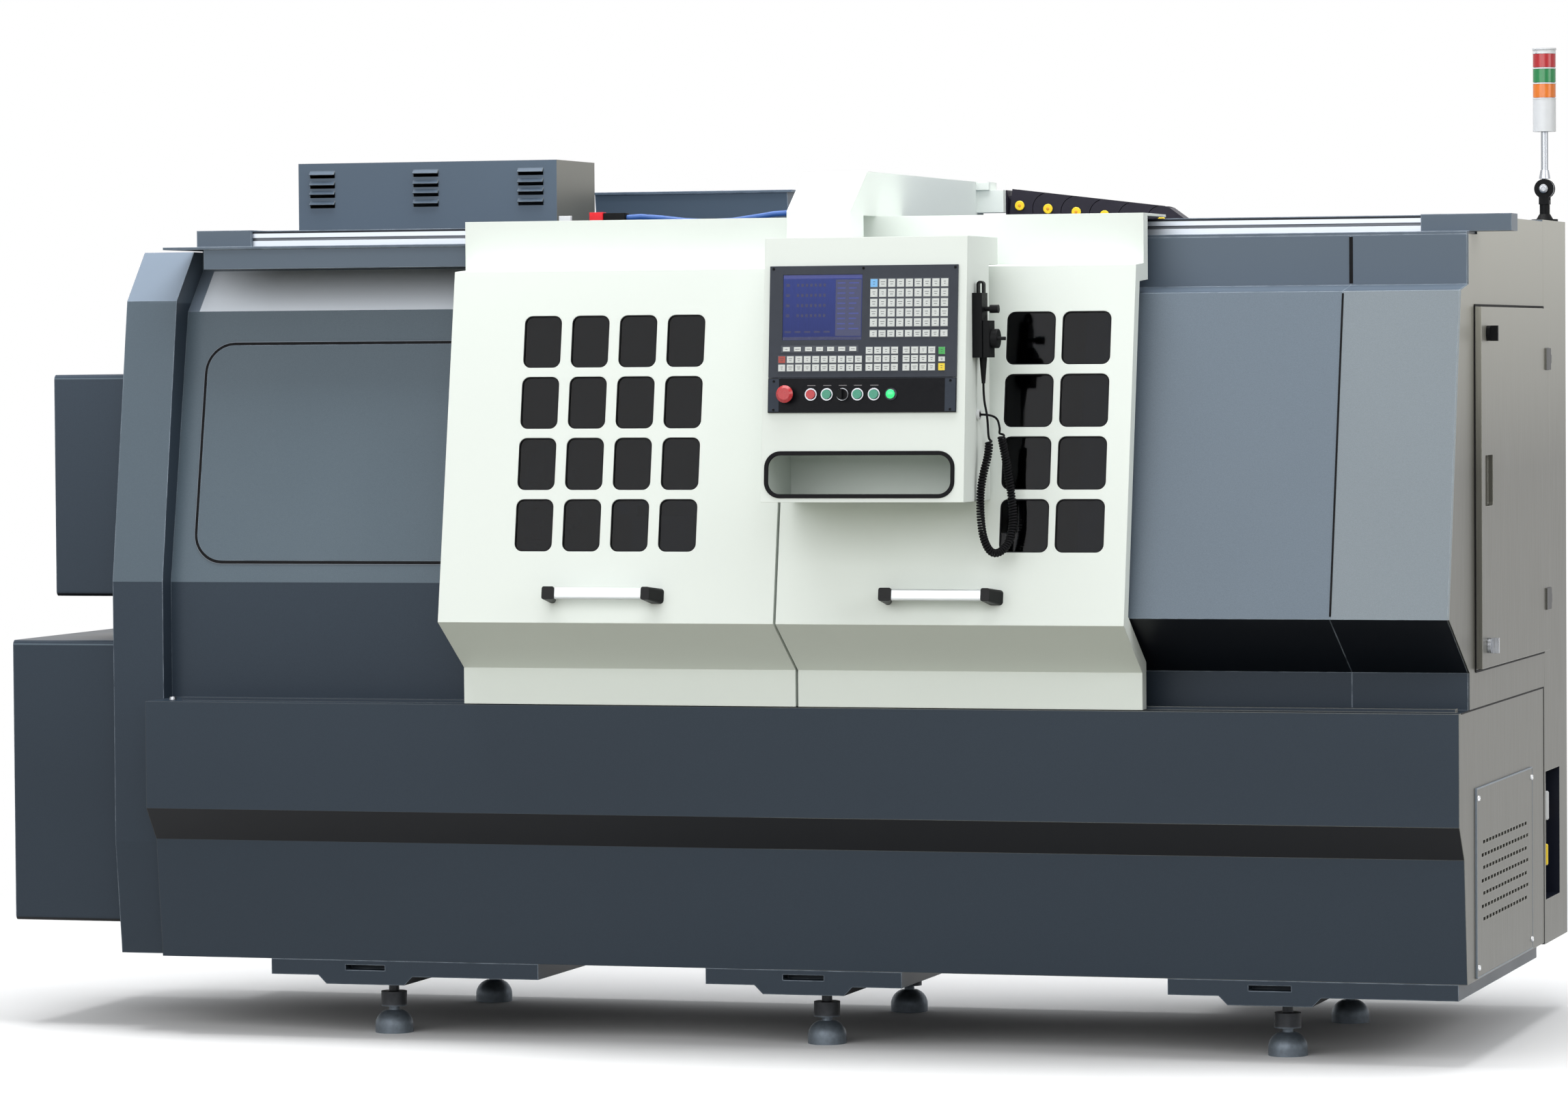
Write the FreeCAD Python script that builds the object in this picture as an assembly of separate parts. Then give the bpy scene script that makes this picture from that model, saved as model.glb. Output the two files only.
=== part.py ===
import FreeCAD, Part
import math
import os

# CNC turning lathe with an inclined sheet-metal enclosure, two sliding doors, a hanging control pendant and a
# flat bed inside. Millimetres, Z up. The geometry is drawn in a working frame: X from the middle of the base
# to the right, Y from the base's front edge to the rear, Z from the floor. The export moves it so that the
# origin is the bottom centre of the whole machine.

Vector = FreeCAD.Vector

# ---- driving dimensions -------------------------------------------------------------------------------

# base
BASE_HALF = 1530.0
BASE_TOP = 782.0
BASE_BOTTOM = 185.0
BASE_REAR = 1090.0
SKIRT_SHEET = 8.0
SKIRT_BREAK_Z = 535.0
UNDERCUT_Y = 58.0
UNDERCUT_Z = 460.0
SKIRT_FOOT_Y = 90.0
TOP_FLANGE = 180.0
END_FLANGE = 70.0
PAN_Z = 640.0
TRACK_Y = 45.0
TRACK_WIDTH = 25.0
TRACK_HEIGHT = 8.0
TRACK_LEFT = -BASE_HALF + 73.0
TRACK_RIGHT = BASE_HALF - 16.0

# enclosure
SHEET = 4.0
ROOF_LOW = 1822.0
ROOF_LIP = 6.0
ROOF_STEP = 44.0
ROOF_TOP = ROOF_LOW + ROOF_STEP
ROOF_FRONT = 135.0
ROOF_STEP_Y = 240.0
ROOF_LEFT = -BASE_HALF + 70.0
HEADER_HEIGHT = 46.0
HEADER_BOTTOM = ROOF_LOW - HEADER_HEIGHT
HEADER_BACK = 236.0
HEADER_LEFT = -BASE_HALF + 100.0
OPENING_HALF = 700.0
COVER_RETURN = 40.0

# door rail and its end caps
RAIL_FRONT = 170.0
RAIL_BACK = 225.0
RAIL_TOP = ROOF_TOP - 4.0
RAIL_LEFT = -BASE_HALF + 210.0
RAIL_RIGHT = BASE_HALF - 110.0
CAP_LEFT = RAIL_LEFT - 135.0
CAP_RIGHT = RAIL_RIGHT + 200.0
CAP_FRONT = RAIL_FRONT - 10.0

# sliding doors
LEFT_DOOR = (-750.0, 34.0)
RIGHT_DOOR = (40.0, 828.0)
DOOR_FOOT_Z = BASE_TOP + 2.0
DOOR_BREAK_Z = DOOR_FOOT_Z + 82.0
DOOR_CHIN = (-172.0, 976.0)
DOOR_BROW = (-37.0, 1761.0)
DOOR_TOP_Y = 35.0
DOOR_LEDGE_Z = DOOR_BROW[1] + 4.0
DOOR_TOP_Z = ROOF_TOP + 9.0
DOOR_SKIN = 4.0
DOOR_RETURN = 38.0
DOOR_FLANGE_BACK = 250.0
DOOR_FLANGE = 6.0
CARRIAGE_LENGTH = 100.0
RAIL_PLAY = 0.3
GLASS = 5.0
WINDOW_ROWS = 4
WINDOW_TOP_Z = DOOR_BROW[1] - 101.0
WINDOW_HEIGHT = 118.0
WINDOW_ROW_PITCH = 138.5
WINDOW_RADIUS = 18.0
LEFT_WINDOW_X = LEFT_DOOR[0] + 173.0
LEFT_WINDOW_WIDTH = 88.0
LEFT_WINDOW_PITCH = 112.3
LEFT_WINDOW_COLUMNS = 4
RIGHT_WINDOW_X = RIGHT_DOOR[1] - 286.0
RIGHT_WINDOW_WIDTH = 110.0
RIGHT_WINDOW_PITCH = 125.0
RIGHT_WINDOW_COLUMNS = 2

# door handles
HANDLE_Z = DOOR_CHIN[1] + 60.0
HANDLE_STAND = 34.0
HANDLE_BAR_HEIGHT = 25.0
HANDLE_BAR_DEPTH = 16.0
HANDLE_BAR_ROUND = 5.0
HANDLE_SOCKET = 16.0
HANDLE_SOCKET_WALL = 2.0
HANDLE_LEFT_BRACKET = 29.0
HANDLE_RIGHT_BRACKET = 38.0
HANDLE_FOOT_HEIGHT = 34.0
HANDLE_FOOT_ROUND = 8.0
HANDLE_GRIP = 202.0
LEFT_HANDLE_X = LEFT_DOOR[0] + 260.0
RIGHT_HANDLE_X = RIGHT_DOOR[0] + 247.0

# pendant
ARM_X = (72.0, 218.0)
PENDANT_X = (ARM_X[0] - 7.0, ARM_X[0] + 449.0)
PENDANT_FOOT = (-360.0, 1249.0)
PENDANT_HEAD = (-310.0, 1823.0)
PENDANT_BACK = -135.0
PENDANT_HEAD_BACK = -58.0
PENDANT_HEAD_Z = PENDANT_HEAD[1] - 60.0
PENDANT_SHEET = 3.0
PANEL_X = (PENDANT_X[0] + 14.0, PENDANT_X[1] - 19.0)
PANEL_TOP_Z = PENDANT_HEAD[1] - 62.0
UNIT_HEIGHT = 242.0
SWITCH_PLATE_HEIGHT = 76.0
PANEL_SPLIT_Z = PANEL_TOP_Z - UNIT_HEIGHT
PANEL_BOTTOM_Z = PANEL_SPLIT_Z - SWITCH_PLATE_HEIGHT
PANEL_THICK = 5.0
PANEL_GAP = 1.0
UNIT_DEPTH = 70.0
TRAY_X = (PENDANT_X[0] + 9.0, PENDANT_X[1] - 23.0)
TRAY_Z = (PENDANT_FOOT[1] + 11.0, PENDANT_FOOT[1] + 109.0)
TRAY_RADIUS = 34.0

# pendant arm
NECK_FRONT = -170.0
NECK_BACK = -66.0
NECK_TOP_Z = DOOR_TOP_Z + 9.0
ARM_FRONT = -34.0
ARM_HEIGHT = 98.0
ARM_TOP = DOOR_TOP_Z + ARM_HEIGHT
ARM_END = 970.0
ARM_SHEET = 4.0

# control elements
SWITCH_Z = PANEL_SPLIT_Z - 37.0
BUTTON_RADIUS = 10.0
BUTTON_PLAY = 0.3
BEZEL_RADIUS = 13.5
BEZEL_HEIGHT = 4.0
ESTOP_X = PANEL_X[0] + 43.0
RED_X = PANEL_X[0] + 98.0
GREEN_X = (PANEL_X[0] + 134.0, PANEL_X[0] + 203.0, PANEL_X[0] + 240.0)
SELECTOR_X = PANEL_X[0] + 169.0
PILOT_X = PANEL_X[0] + 278.0
ESTOP_RADIUS = 19.0

# handset
HANDSET_X = 22.0
HANDSET_Y = (-280.0, -228.0)
HANDSET_Z = (1560.0, 1700.0)
ENCODER_DEPTH = 16.0
ENCODER_HALF = 24.0
ENCODER_Z = (HANDSET_Z[0], HANDSET_Z[0] + 80.0)
WHEEL_RADIUS = 21.0
WHEEL_Z = HANDSET_Z[0] + 41.0
WHEEL_WIDTH = 15.0
CRANK_RADIUS = 4.0
CRANK_OFFSET = 12.0
KNOB_REACH = 31.0
KNOB_RADIUS = 9.0
KNOB_Z = HANDSET_Z[0] + 105.0
RUNNING_GAP = 0.3

# curly cord
CORD_RADIUS = 2.5
COIL_RADIUS = 9.5

# spindle line and bed
SPINDLE_Y = 595.0
SPINDLE_Z = 1228.0
WAYS_TOP = 960.0
BED_LEFT = -BASE_HALF + 80.0
BED_RIGHT = BASE_HALF - 130.0
BED_FRONT = SPINDLE_Y - 200.0
BED_BACK = SPINDLE_Y + 200.0
WAY_WIDTH = 110.0
BED_WALL = 40.0
CHUCK_RADIUS = 160.0
HEADSTOCK_X = (BED_LEFT, BED_LEFT + 550.0)
CHUCK_X = (HEADSTOCK_X[1] + 40.0, HEADSTOCK_X[1] + 150.0)
SPINDLE_RADIUS = 75.0
SPINDLE_FIT = 0.05
SPINDLE_BORE = 35.0
JAW_WIDTH = 40.0
QUILL_RADIUS = 45.0
QUILL_FIT = 0.05
SLIDE_GAP = 0.05

# signal tower
TOWER_RADIUS = 27.0
TOWER_CASE_HEIGHT = 78.0
LENS_STACK_HEIGHT = 107.0
TOWER_CAP_HEIGHT = 12.0
TOWER_POLE_REACH = 135.0
POLE_RADIUS = 8.5

# rear cabinet
CABINET_WIDTH = 830.0
CABINET_DEPTH = 320.0
CABINET_LEFT = BASE_HALF - CABINET_WIDTH
CABINET_BACK = BASE_REAR + CABINET_DEPTH
CABINET_BOTTOM = 180.0
CABINET_TOP = ROOF_TOP + 4.0
TOWER = (BASE_HALF - 38.0, CABINET_BACK - 65.0)
TOWER_PIVOT_Z = CABINET_TOP + 78.0
TOWER_CASE_Z = TOWER_PIVOT_Z + TOWER_POLE_REACH
LENS_STACK_Z = TOWER_CASE_Z + TOWER_CASE_HEIGHT
TOWER_CAP_Z = LENS_STACK_Z + LENS_STACK_HEIGHT
RECESS_Y = (BASE_REAR + 15.0, BASE_REAR + 211.0)
RECESS_Z = (283.0, 583.0)
RECESS_DEPTH = 110.0
CABINET_EDGE = 3.0

# left end
COLUMN_WIDTH = 125.0
COLUMN_LEFT = -BASE_HALF - COLUMN_WIDTH
COLUMN_TOP = 1820.0
SPINDLE_COVER_REACH = 223.0
SPINDLE_COVER_Y = (300.0, 860.0)
SPINDLE_COVER_Z = (1011.0, 1534.0)
MOTOR_COVER_REACH = 301.0
MOTOR_COVER_Y = (220.0, 900.0)
MOTOR_COVER_Z = (249.0, 910.0)

# feet
FOOT_X = (-1030.0, 20.0, 1090.0)
FOOT_Y = (280.0, 980.0)
FOOT_PAD_RADIUS = 44.0
FOOT_SCREW_RADIUS = 12.0
BEAM_THIN_Z = 149.0
BEAM_THICK_Z = 129.0


# ---- shape helpers ------------------------------------------------------------------------------------

def box(x_range, y_range, z_range):
    size = (x_range[1] - x_range[0], y_range[1] - y_range[0], z_range[1] - z_range[0])
    return Part.makeBox(size[0], size[1], size[2], Vector(x_range[0], y_range[0], z_range[0]))


def prism(points, direction):
    wire = Part.makePolygon([Vector(*p) for p in points] + [Vector(*points[0])])
    return Part.Face(wire).extrude(Vector(*direction))


def prism_x(profile, x_range):
    """A (y, z) outline run along X."""
    return prism([(x_range[0], y, z) for y, z in profile], (x_range[1] - x_range[0], 0, 0))


def prism_y(profile, y_range):
    """An (x, z) outline run along Y."""
    return prism([(x, y_range[0], z) for x, z in profile], (0, y_range[1] - y_range[0], 0))


def rod(start, axis, radius, length):
    return Part.makeCylinder(radius, length, Vector(*start), Vector(*axis))


def joined(shapes):
    result = shapes[0]
    for shape in shapes[1:]:
        result = result.fuse(shape)
    return result.removeSplitter()


def rounded(shape, radius, axis):
    """Rounds the straight edges that run along the axis."""
    chosen = []
    for edge in shape.Edges:
        along = edge.Vertexes[-1].Point - edge.Vertexes[0].Point
        if along.Length > 1e-6 and abs(abs(along.normalize().dot(Vector(*axis))) - 1) < 1e-6:
            chosen.append(edge)
    return shape.makeFillet(radius, chosen)


def offset_line(points, distance):
    """Moves an open outline to the right of its direction of travel, with mitred corners."""
    lines = []
    for (y0, z0), (y1, z1) in zip(points, points[1:]):
        length = math.hypot(y1 - y0, z1 - z0)
        normal = ((z1 - z0) / length, -(y1 - y0) / length)
        shift = (normal[0] * distance, normal[1] * distance)
        lines.append(((y0 + shift[0], z0 + shift[1]), (y1 + shift[0], z1 + shift[1])))
    result = [lines[0][0]]
    for (a, b), (c, d) in zip(lines, lines[1:]):
        ab = (b[0] - a[0], b[1] - a[1])
        cd = (d[0] - c[0], d[1] - c[1])
        cross = ab[0] * cd[1] - ab[1] * cd[0]
        t = ((c[0] - a[0]) * cd[1] - (c[1] - a[1]) * cd[0]) / cross
        result.append((a[0] + ab[0] * t, a[1] + ab[1] * t))
    result.append(lines[-1][1])
    return result


def band(points, thickness):
    """The closed outline of a folded sheet whose outer face follows the points."""
    return points + offset_line(points, thickness)[::-1]


def inset(points, distance):
    """A closed outline, drawn clockwise, moved inward."""
    ring = points[-1:] + points + points[:1]
    return offset_line(ring, distance)[1:-1]


def folded_cover(outline, x_range, returns=(False, False)):
    """A folded sheet run along X; an end that asks for one gets a deeper flange, short of the top."""
    sheet = prism_x(band(outline, SHEET), x_range)
    shapes = [sheet]
    flange = band(outline[:-1], COVER_RETURN)
    if returns[0]:
        shapes.append(prism_x(flange, (x_range[0], x_range[0] + SHEET)))
    if returns[1]:
        shapes.append(prism_x(flange, (x_range[1] - SHEET, x_range[1])))
    return joined(shapes)


def leaning(shape, foot, head):
    """Moves a shape drawn upright at the origin onto the sloping face from foot to head (y, z)."""
    angle = math.degrees(math.atan2(head[0] - foot[0], head[1] - foot[1]))
    placed = shape.copy()
    placed.Placement = FreeCAD.Placement(
        Vector(0, foot[0], foot[1]), FreeCAD.Rotation(Vector(1, 0, 0), -angle)
    )
    return placed


def slope_height(z, foot, head):
    """The distance along a sloping face from its foot to the height z."""
    return (z - foot[1]) * math.hypot(head[0] - foot[0], head[1] - foot[1]) / (head[1] - foot[1])


# ---- base ---------------------------------------------------------------------------------------------

SKIRT_FRONT = [
    (SKIRT_FOOT_Y, BASE_BOTTOM), (UNDERCUT_Y, UNDERCUT_Z), (0.0, SKIRT_BREAK_Z), (0.0, BASE_TOP),
]


def base_skirt():
    outer = SKIRT_FRONT + [(BASE_REAR, BASE_TOP), (BASE_REAR, BASE_BOTTOM)]
    inner_front = offset_line(SKIRT_FRONT, SKIRT_SHEET)
    inner_front[-1] = (inner_front[-1][0], BASE_TOP - SKIRT_SHEET)
    rear = BASE_REAR - SKIRT_SHEET
    inner = inner_front + [(rear, BASE_TOP - SKIRT_SHEET), (rear, BASE_BOTTOM)]
    inner_span = (-BASE_HALF + SKIRT_SHEET, BASE_HALF - SKIRT_SHEET)
    cavity = prism_x(inner, inner_span)
    pan_opening = box(
        (-BASE_HALF + END_FLANGE, BASE_HALF - END_FLANGE),
        (TOP_FLANGE, BASE_REAR - COVER_RETURN),
        (PAN_Z, BASE_TOP),
    )
    pan = cavity.common(box(inner_span, (-SHEET, BASE_REAR), (PAN_Z - SKIRT_SHEET, PAN_Z)))
    end_opening = rounded(
        box((BASE_HALF - END_FLANGE, BASE_HALF), VENT_OPENING_Y, VENT_OPENING_Z), SKIRT_SHEET, (1, 0, 0)
    )
    track = box(
        (TRACK_LEFT, TRACK_RIGHT), (TRACK_Y, TRACK_Y + TRACK_WIDTH), (BASE_TOP, BASE_TOP + TRACK_HEIGHT)
    )
    shell = prism_x(outer, (-BASE_HALF, BASE_HALF)).cut(cavity).cut(pan_opening).cut(end_opening)
    return joined([shell, pan, track])


def foot_beam(left, right, thick_left, thick_right):
    ramp = BEAM_THIN_Z - BEAM_THICK_Z
    outline = [
        (left, BASE_BOTTOM), (left, BEAM_THIN_Z), (thick_left - ramp, BEAM_THIN_Z),
        (thick_left, BEAM_THICK_Z), (thick_right, BEAM_THICK_Z), (thick_right + ramp, BEAM_THIN_Z),
        (right, BEAM_THIN_Z), (right, BASE_BOTTOM),
    ]
    return prism_y(outline, (SKIRT_FOOT_Y, BASE_REAR))


BEAM_REACH = (230.0, 420.0)
BEAM_THICK_HALF = 95.0
SLOT_HALF = 48.0
SLOT_Z = (162.0, 174.0)
SLOT_DEPTH = 40.0


def foot_beams():
    shapes = []
    for x in FOOT_X:
        beam = foot_beam(
            x - BEAM_REACH[0], x + BEAM_REACH[1] if x != FOOT_X[1] else x + BEAM_REACH[0],
            x - BEAM_THICK_HALF, x + BEAM_THICK_HALF,
        )
        slot = box((x - SLOT_HALF, x + SLOT_HALF), (SKIRT_FOOT_Y, SKIRT_FOOT_Y + SLOT_DEPTH), SLOT_Z)
        beam = beam.cut(slot)
        for y in FOOT_Y:
            beam = beam.cut(rod((x, y, 0), (0, 0, 1), FOOT_SCREW_RADIUS, BASE_BOTTOM))
        shapes.append(beam)
    return Part.makeCompound(shapes)


COLLAR_RADIUS = 30.0
COLLAR_Z = (62.0, 96.0)


def levelling_foot(x, y):
    """A turned foot: domed pad, neck, lock collar and screw."""
    neck = FOOT_SCREW_RADIUS + 6.0
    edge = Vector(FOOT_PAD_RADIUS, 0, 14.0)
    crown = Vector(neck, 0, 52.0)
    middle = Vector(FOOT_PAD_RADIUS * 0.82, 0, 40.0)
    outline = [
        Part.makeLine(Vector(0, 0, 0), Vector(FOOT_PAD_RADIUS, 0, 0)),
        Part.makeLine(Vector(FOOT_PAD_RADIUS, 0, 0), edge),
        Part.Arc(edge, middle, crown).toShape(),
        Part.makeLine(crown, Vector(0, 0, crown.z)),
        Part.makeLine(Vector(0, 0, crown.z), Vector(0, 0, 0)),
    ]
    pad = Part.Face(Part.Wire(outline)).revolve(Vector(0, 0, 0), Vector(0, 0, 1), 360)
    screw = rod((0, 0, crown.z), (0, 0, 1), FOOT_SCREW_RADIUS, BASE_BOTTOM - 10.0 - crown.z)
    collar = rod((0, 0, COLLAR_Z[0]), (0, 0, 1), COLLAR_RADIUS, COLLAR_Z[1] - COLLAR_Z[0])
    foot = joined([pad, screw, collar])
    foot.translate(Vector(x, y, 0))
    return foot


def levelling_feet():
    return Part.makeCompound([levelling_foot(x, y) for x in FOOT_X for y in FOOT_Y])


VENT_Y = (190.0, 900.0)
VENT_Z = (192.0, 605.0)
VENT_OPENING_Y = (240.0, 840.0)
VENT_OPENING_Z = (290.0, 510.0)
VENT_ROWS = 7
VENT_ROW_PITCH = 28.4
VENT_FIRST_Z = 314.0
VENT_SLOT = (28.0, 8.0)
VENT_SLOT_PITCH = 38.0
VENT_SLOTS = 15


def base_vent_cover():
    """A flat cover with seven staggered rows of short round-ended slots."""
    plate = box((BASE_HALF, BASE_HALF + SHEET), VENT_Y, VENT_Z)
    middle = sum(VENT_Y) / 2
    slots = []
    for row in range(VENT_ROWS):
        count = VENT_SLOTS + row % 2
        z = VENT_FIRST_Z + row * VENT_ROW_PITCH
        for index in range(count):
            y = middle + (index - (count - 1) / 2) * VENT_SLOT_PITCH
            half = VENT_SLOT[0] / 2
            slots.append(box((BASE_HALF, BASE_HALF + SHEET), (y - half, y + half),
                             (z - VENT_SLOT[1] / 2, z + VENT_SLOT[1] / 2)))
    return plate.cut(Part.makeCompound(slots))


# ---- enclosure ----------------------------------------------------------------------------------------

COLUMN_OUTLINE = [
    (145.0, BASE_BOTTOM), (112.0, 447.0), (112.0, 1053.0), (217.0, 1705.0), (327.0, COLUMN_TOP),
    (BASE_REAR, COLUMN_TOP), (BASE_REAR, BASE_BOTTOM),
]
LEFT_COVER = [(162.0, BASE_TOP), (162.0, 1051.0), (285.0, 1680.0), (380.0, 1775.0), (380.0, ROOF_LOW)]
RIGHT_COVER = [
    (130.0, BASE_TOP), (130.0, 864.0), (-112.0, 990.0), (45.0, 1699.0), (ROOF_FRONT, 1712.0),
    (ROOF_FRONT, ROOF_LOW),
]
COVER_SEAM = BASE_HALF - 260.0
SEAM_GAP = 2.0


def left_end_housing():
    return prism_x(COLUMN_OUTLINE, (COLUMN_LEFT, -BASE_HALF))


ACCESS_PANEL_X = (-BASE_HALF + 60.0, -OPENING_HALF - 60.0)
ACCESS_PANEL_Z = (LEFT_COVER[1][1] + 49.0, LEFT_COVER[2][1] - 80.0)
ACCESS_PANEL_RADIUS = 65.0
PANEL_PROUD = 3.0


def headstock_cover():
    cover = folded_cover(LEFT_COVER, (-BASE_HALF, -OPENING_HALF), (False, True))
    foot, head = LEFT_COVER[1], LEFT_COVER[2]
    heights = tuple(slope_height(z, foot, head) for z in ACCESS_PANEL_Z)
    panel = rounded(box(ACCESS_PANEL_X, (-PANEL_PROUD, 0), heights), ACCESS_PANEL_RADIUS, (0, 1, 0))
    return joined([cover, leaning(panel, foot, head)])


def right_cover_inner():
    return folded_cover(RIGHT_COVER, (OPENING_HALF, COVER_SEAM - SEAM_GAP / 2), (True, False))


def right_cover_outer():
    return folded_cover(RIGHT_COVER, (COVER_SEAM - SEAM_GAP / 2, BASE_HALF - SHEET))


DOORWAY_Y = (235.0, BASE_REAR - 40.0)
DOORWAY_Z = (905.0, 1630.0)
DOORWAY_RADIUS = 40.0
ACCESS_DOOR_Y = (DOORWAY_Y[0] - 35.0, DOORWAY_Y[1] + 33.0)
ACCESS_DOOR_Z = (DOORWAY_Z[0] - 36.0, DOORWAY_Z[1] + 33.0)
ACCESS_DOOR_DEPTH = 16.0
ACCESS_DOOR_GAP = 0.3


def right_end_wall():
    outline = RIGHT_COVER + [
        (ROOF_STEP_Y, ROOF_LOW), (ROOF_STEP_Y, ROOF_TOP), (BASE_REAR, ROOF_TOP), (BASE_REAR, BASE_TOP),
    ]
    wall = prism_x(outline, (BASE_HALF - SHEET, BASE_HALF))
    doorway = rounded(box((BASE_HALF - SHEET, BASE_HALF), DOORWAY_Y, DOORWAY_Z), DOORWAY_RADIUS, (1, 0, 0))
    return wall.cut(doorway)


CHAIN_TRAY_X = (250.0, 1340.0)
CHAIN_WIDTH = 60.0
CHAIN_Y = (ARM_END - 40.0, ARM_END - 40.0 + CHAIN_WIDTH)
CHAIN_TRAY_Y = (CHAIN_Y[0] - 22.0, CHAIN_Y[1] + 22.0)


def enclosure_shell():
    """Rear wall, stepped roof with the drag-chain tray, header box and the rail's two end caps."""
    inner_end = BASE_HALF - SHEET
    rear = box((-BASE_HALF, inner_end), (BASE_REAR - ROOF_LIP, BASE_REAR), (BASE_TOP, ROOF_LOW))
    low = box((-BASE_HALF, inner_end), (ROOF_FRONT, BASE_REAR), (ROOF_LOW, ROOF_LOW + ROOF_LIP))
    lid = box((ROOF_LEFT, inner_end), (ROOF_STEP_Y, BASE_REAR), (ROOF_LOW + ROOF_LIP, ROOF_TOP))
    lid_cavity = box(
        (ROOF_LEFT + ROOF_LIP, inner_end - ROOF_LIP), (ROOF_STEP_Y + ROOF_LIP, BASE_REAR - ROOF_LIP),
        (ROOF_LOW + ROOF_LIP, ROOF_TOP - ROOF_LIP),
    )
    header_span = (HEADER_LEFT, inner_end)
    header_front = ROOF_FRONT + SHEET
    header = box(header_span, (header_front, HEADER_BACK), (HEADER_BOTTOM, ROOF_LOW))
    header_cavity = box(
        header_span, (header_front + SHEET, HEADER_BACK - SHEET), (HEADER_BOTTOM + SHEET, ROOF_LOW - SHEET)
    )
    tray_floor = chain_pins()[-1][1] - CHAIN_HEIGHT / 2 - RUNNING_GAP
    tray = box(CHAIN_TRAY_X, CHAIN_TRAY_Y, (tray_floor - SHEET, ROOF_TOP))
    tray_cavity = box(
        (CHAIN_TRAY_X[0] + SHEET, CHAIN_TRAY_X[1] - SHEET), (CHAIN_TRAY_Y[0] + SHEET, CHAIN_TRAY_Y[1] - SHEET),
        (tray_floor, ROOF_TOP),
    )
    cap_y = (CAP_FRONT, HEADER_BACK)
    cap_z = (ROOF_LOW + ROOF_LIP, ROOF_TOP)
    caps = [box((CAP_LEFT, RAIL_LEFT), cap_y, cap_z), box((RAIL_RIGHT, CAP_RIGHT), cap_y, cap_z)]
    shell = joined([rear, low, lid.cut(lid_cavity), header.cut(header_cavity), tray] + caps)
    return shell.cut(tray_cavity)


def rear_cabinet():
    """The closed cabinet behind the enclosure, with the recess in its end and the fixed hinge halves."""
    body = box((CABINET_LEFT, BASE_HALF), (BASE_REAR, CABINET_BACK), (CABINET_BOTTOM, CABINET_TOP))
    body = rounded(body, CABINET_EDGE, (0, 0, 1))
    recess = box((BASE_HALF - RECESS_DEPTH, BASE_HALF), RECESS_Y, RECESS_Z)
    return joined([body] + [hinge_leaf(z) for z in HINGE_Z]).cut(recess)


BOWL_RADIUS = 19.0


def air_unit():
    """A filter and regulator pair on a bracket in the cabinet's recess."""
    back = BASE_HALF - RECESS_DEPTH
    centre_x = BASE_HALF - 48.0
    first_y = RECESS_Y[0] + 55.0
    second_y = first_y + 62.0
    top = RECESS_Z[1] - 38.0
    head = box((centre_x - 24.0, centre_x + 24.0), (first_y - 26.0, second_y + 26.0), (top - 46.0, top))
    bracket = box((back, centre_x - 24.0), (first_y, second_y), (top - 40.0, top - 6.0))
    parts = [head, bracket]
    for y in (first_y, second_y):
        parts.append(rod((centre_x, y, top - 160.0), (0, 0, 1), BOWL_RADIUS, 114.0))
        parts.append(rod((centre_x, y, top), (0, 0, 1), BOWL_RADIUS * 0.7, 24.0))
    return joined(parts)


END_BOX_RADIUS = 12.0


def end_box(reach, y_range, z_range):
    """A closed cover on the end housing, with its long edges rounded."""
    return rounded(box((COLUMN_LEFT - reach, COLUMN_LEFT), y_range, z_range), END_BOX_RADIUS, (1, 0, 0))


VENT_BOX_X = (ROOF_LEFT + 158.0, ROOF_LEFT + 799.0)
VENT_BOX_Y = (420.0, 698.0)
VENT_BOX_TOP = ROOF_TOP + 160.0
LOUVRE_X = (VENT_BOX_X[0] + 60.0, VENT_BOX_X[0] + 318.0, VENT_BOX_X[0] + 577.0)
LOUVRE_Z = (VENT_BOX_TOP - 31.0, VENT_BOX_TOP - 55.0, VENT_BOX_TOP - 77.0, VENT_BOX_TOP - 101.0)
LOUVRE_WIDTH = 62.0
LOUVRE_SLOT = 8.0
LOUVRE_REACH = 9.0


def roof_vent_box():
    """An open-bottomed box with pressed louvres: each slot has a hood that leans out over it."""
    front = VENT_BOX_Y[0]
    outer = box(VENT_BOX_X, VENT_BOX_Y, (ROOF_TOP, VENT_BOX_TOP))
    cavity = box(
        (VENT_BOX_X[0] + SHEET, VENT_BOX_X[1] - SHEET), (front + SHEET, VENT_BOX_Y[1] - SHEET),
        (ROOF_TOP, VENT_BOX_TOP - SHEET),
    )
    shell = outer.cut(cavity)
    hoods = []
    for x in LOUVRE_X:
        for z in LOUVRE_Z:
            span = (x - LOUVRE_WIDTH / 2, x + LOUVRE_WIDTH / 2)
            shell = shell.cut(box(span, (front, front + SHEET), (z - LOUVRE_SLOT / 2, z + LOUVRE_SLOT / 2)))
            top = z + LOUVRE_SLOT / 2
            outline = [
                (front, top + LOUVRE_REACH), (front - LOUVRE_REACH, top),
                (front - LOUVRE_REACH + 2.0, top - 1.0),
                (front, top + LOUVRE_REACH - 4.0),
            ]
            hoods.append(prism_x(outline, span))
    return joined([shell] + hoods)


DUCT_X = (-761.0, -262.0)
DUCT_Y = (BASE_REAR - 90.0, BASE_REAR - 10.0)
DUCT_TOP = ROOF_TOP + 98.0
DUCT_LEAN = 14.0
DUCT_TRIM = 6.0


def roof_duct():
    """A duct along the roof's rear edge, with a front that leans out towards its top trim."""
    trim_z = DUCT_TOP - DUCT_TRIM
    body = prism_x(
        [(DUCT_Y[0] + DUCT_LEAN, ROOF_TOP), (DUCT_Y[0], trim_z), (DUCT_Y[1], trim_z), (DUCT_Y[1], ROOF_TOP)],
        (DUCT_X[0], DUCT_X[1] - DUCT_LEAN),
    )
    trim = box(DUCT_X, (DUCT_Y[0] - DUCT_TRIM, DUCT_Y[1]), (trim_z, DUCT_TOP))
    return joined([body, trim])


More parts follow.
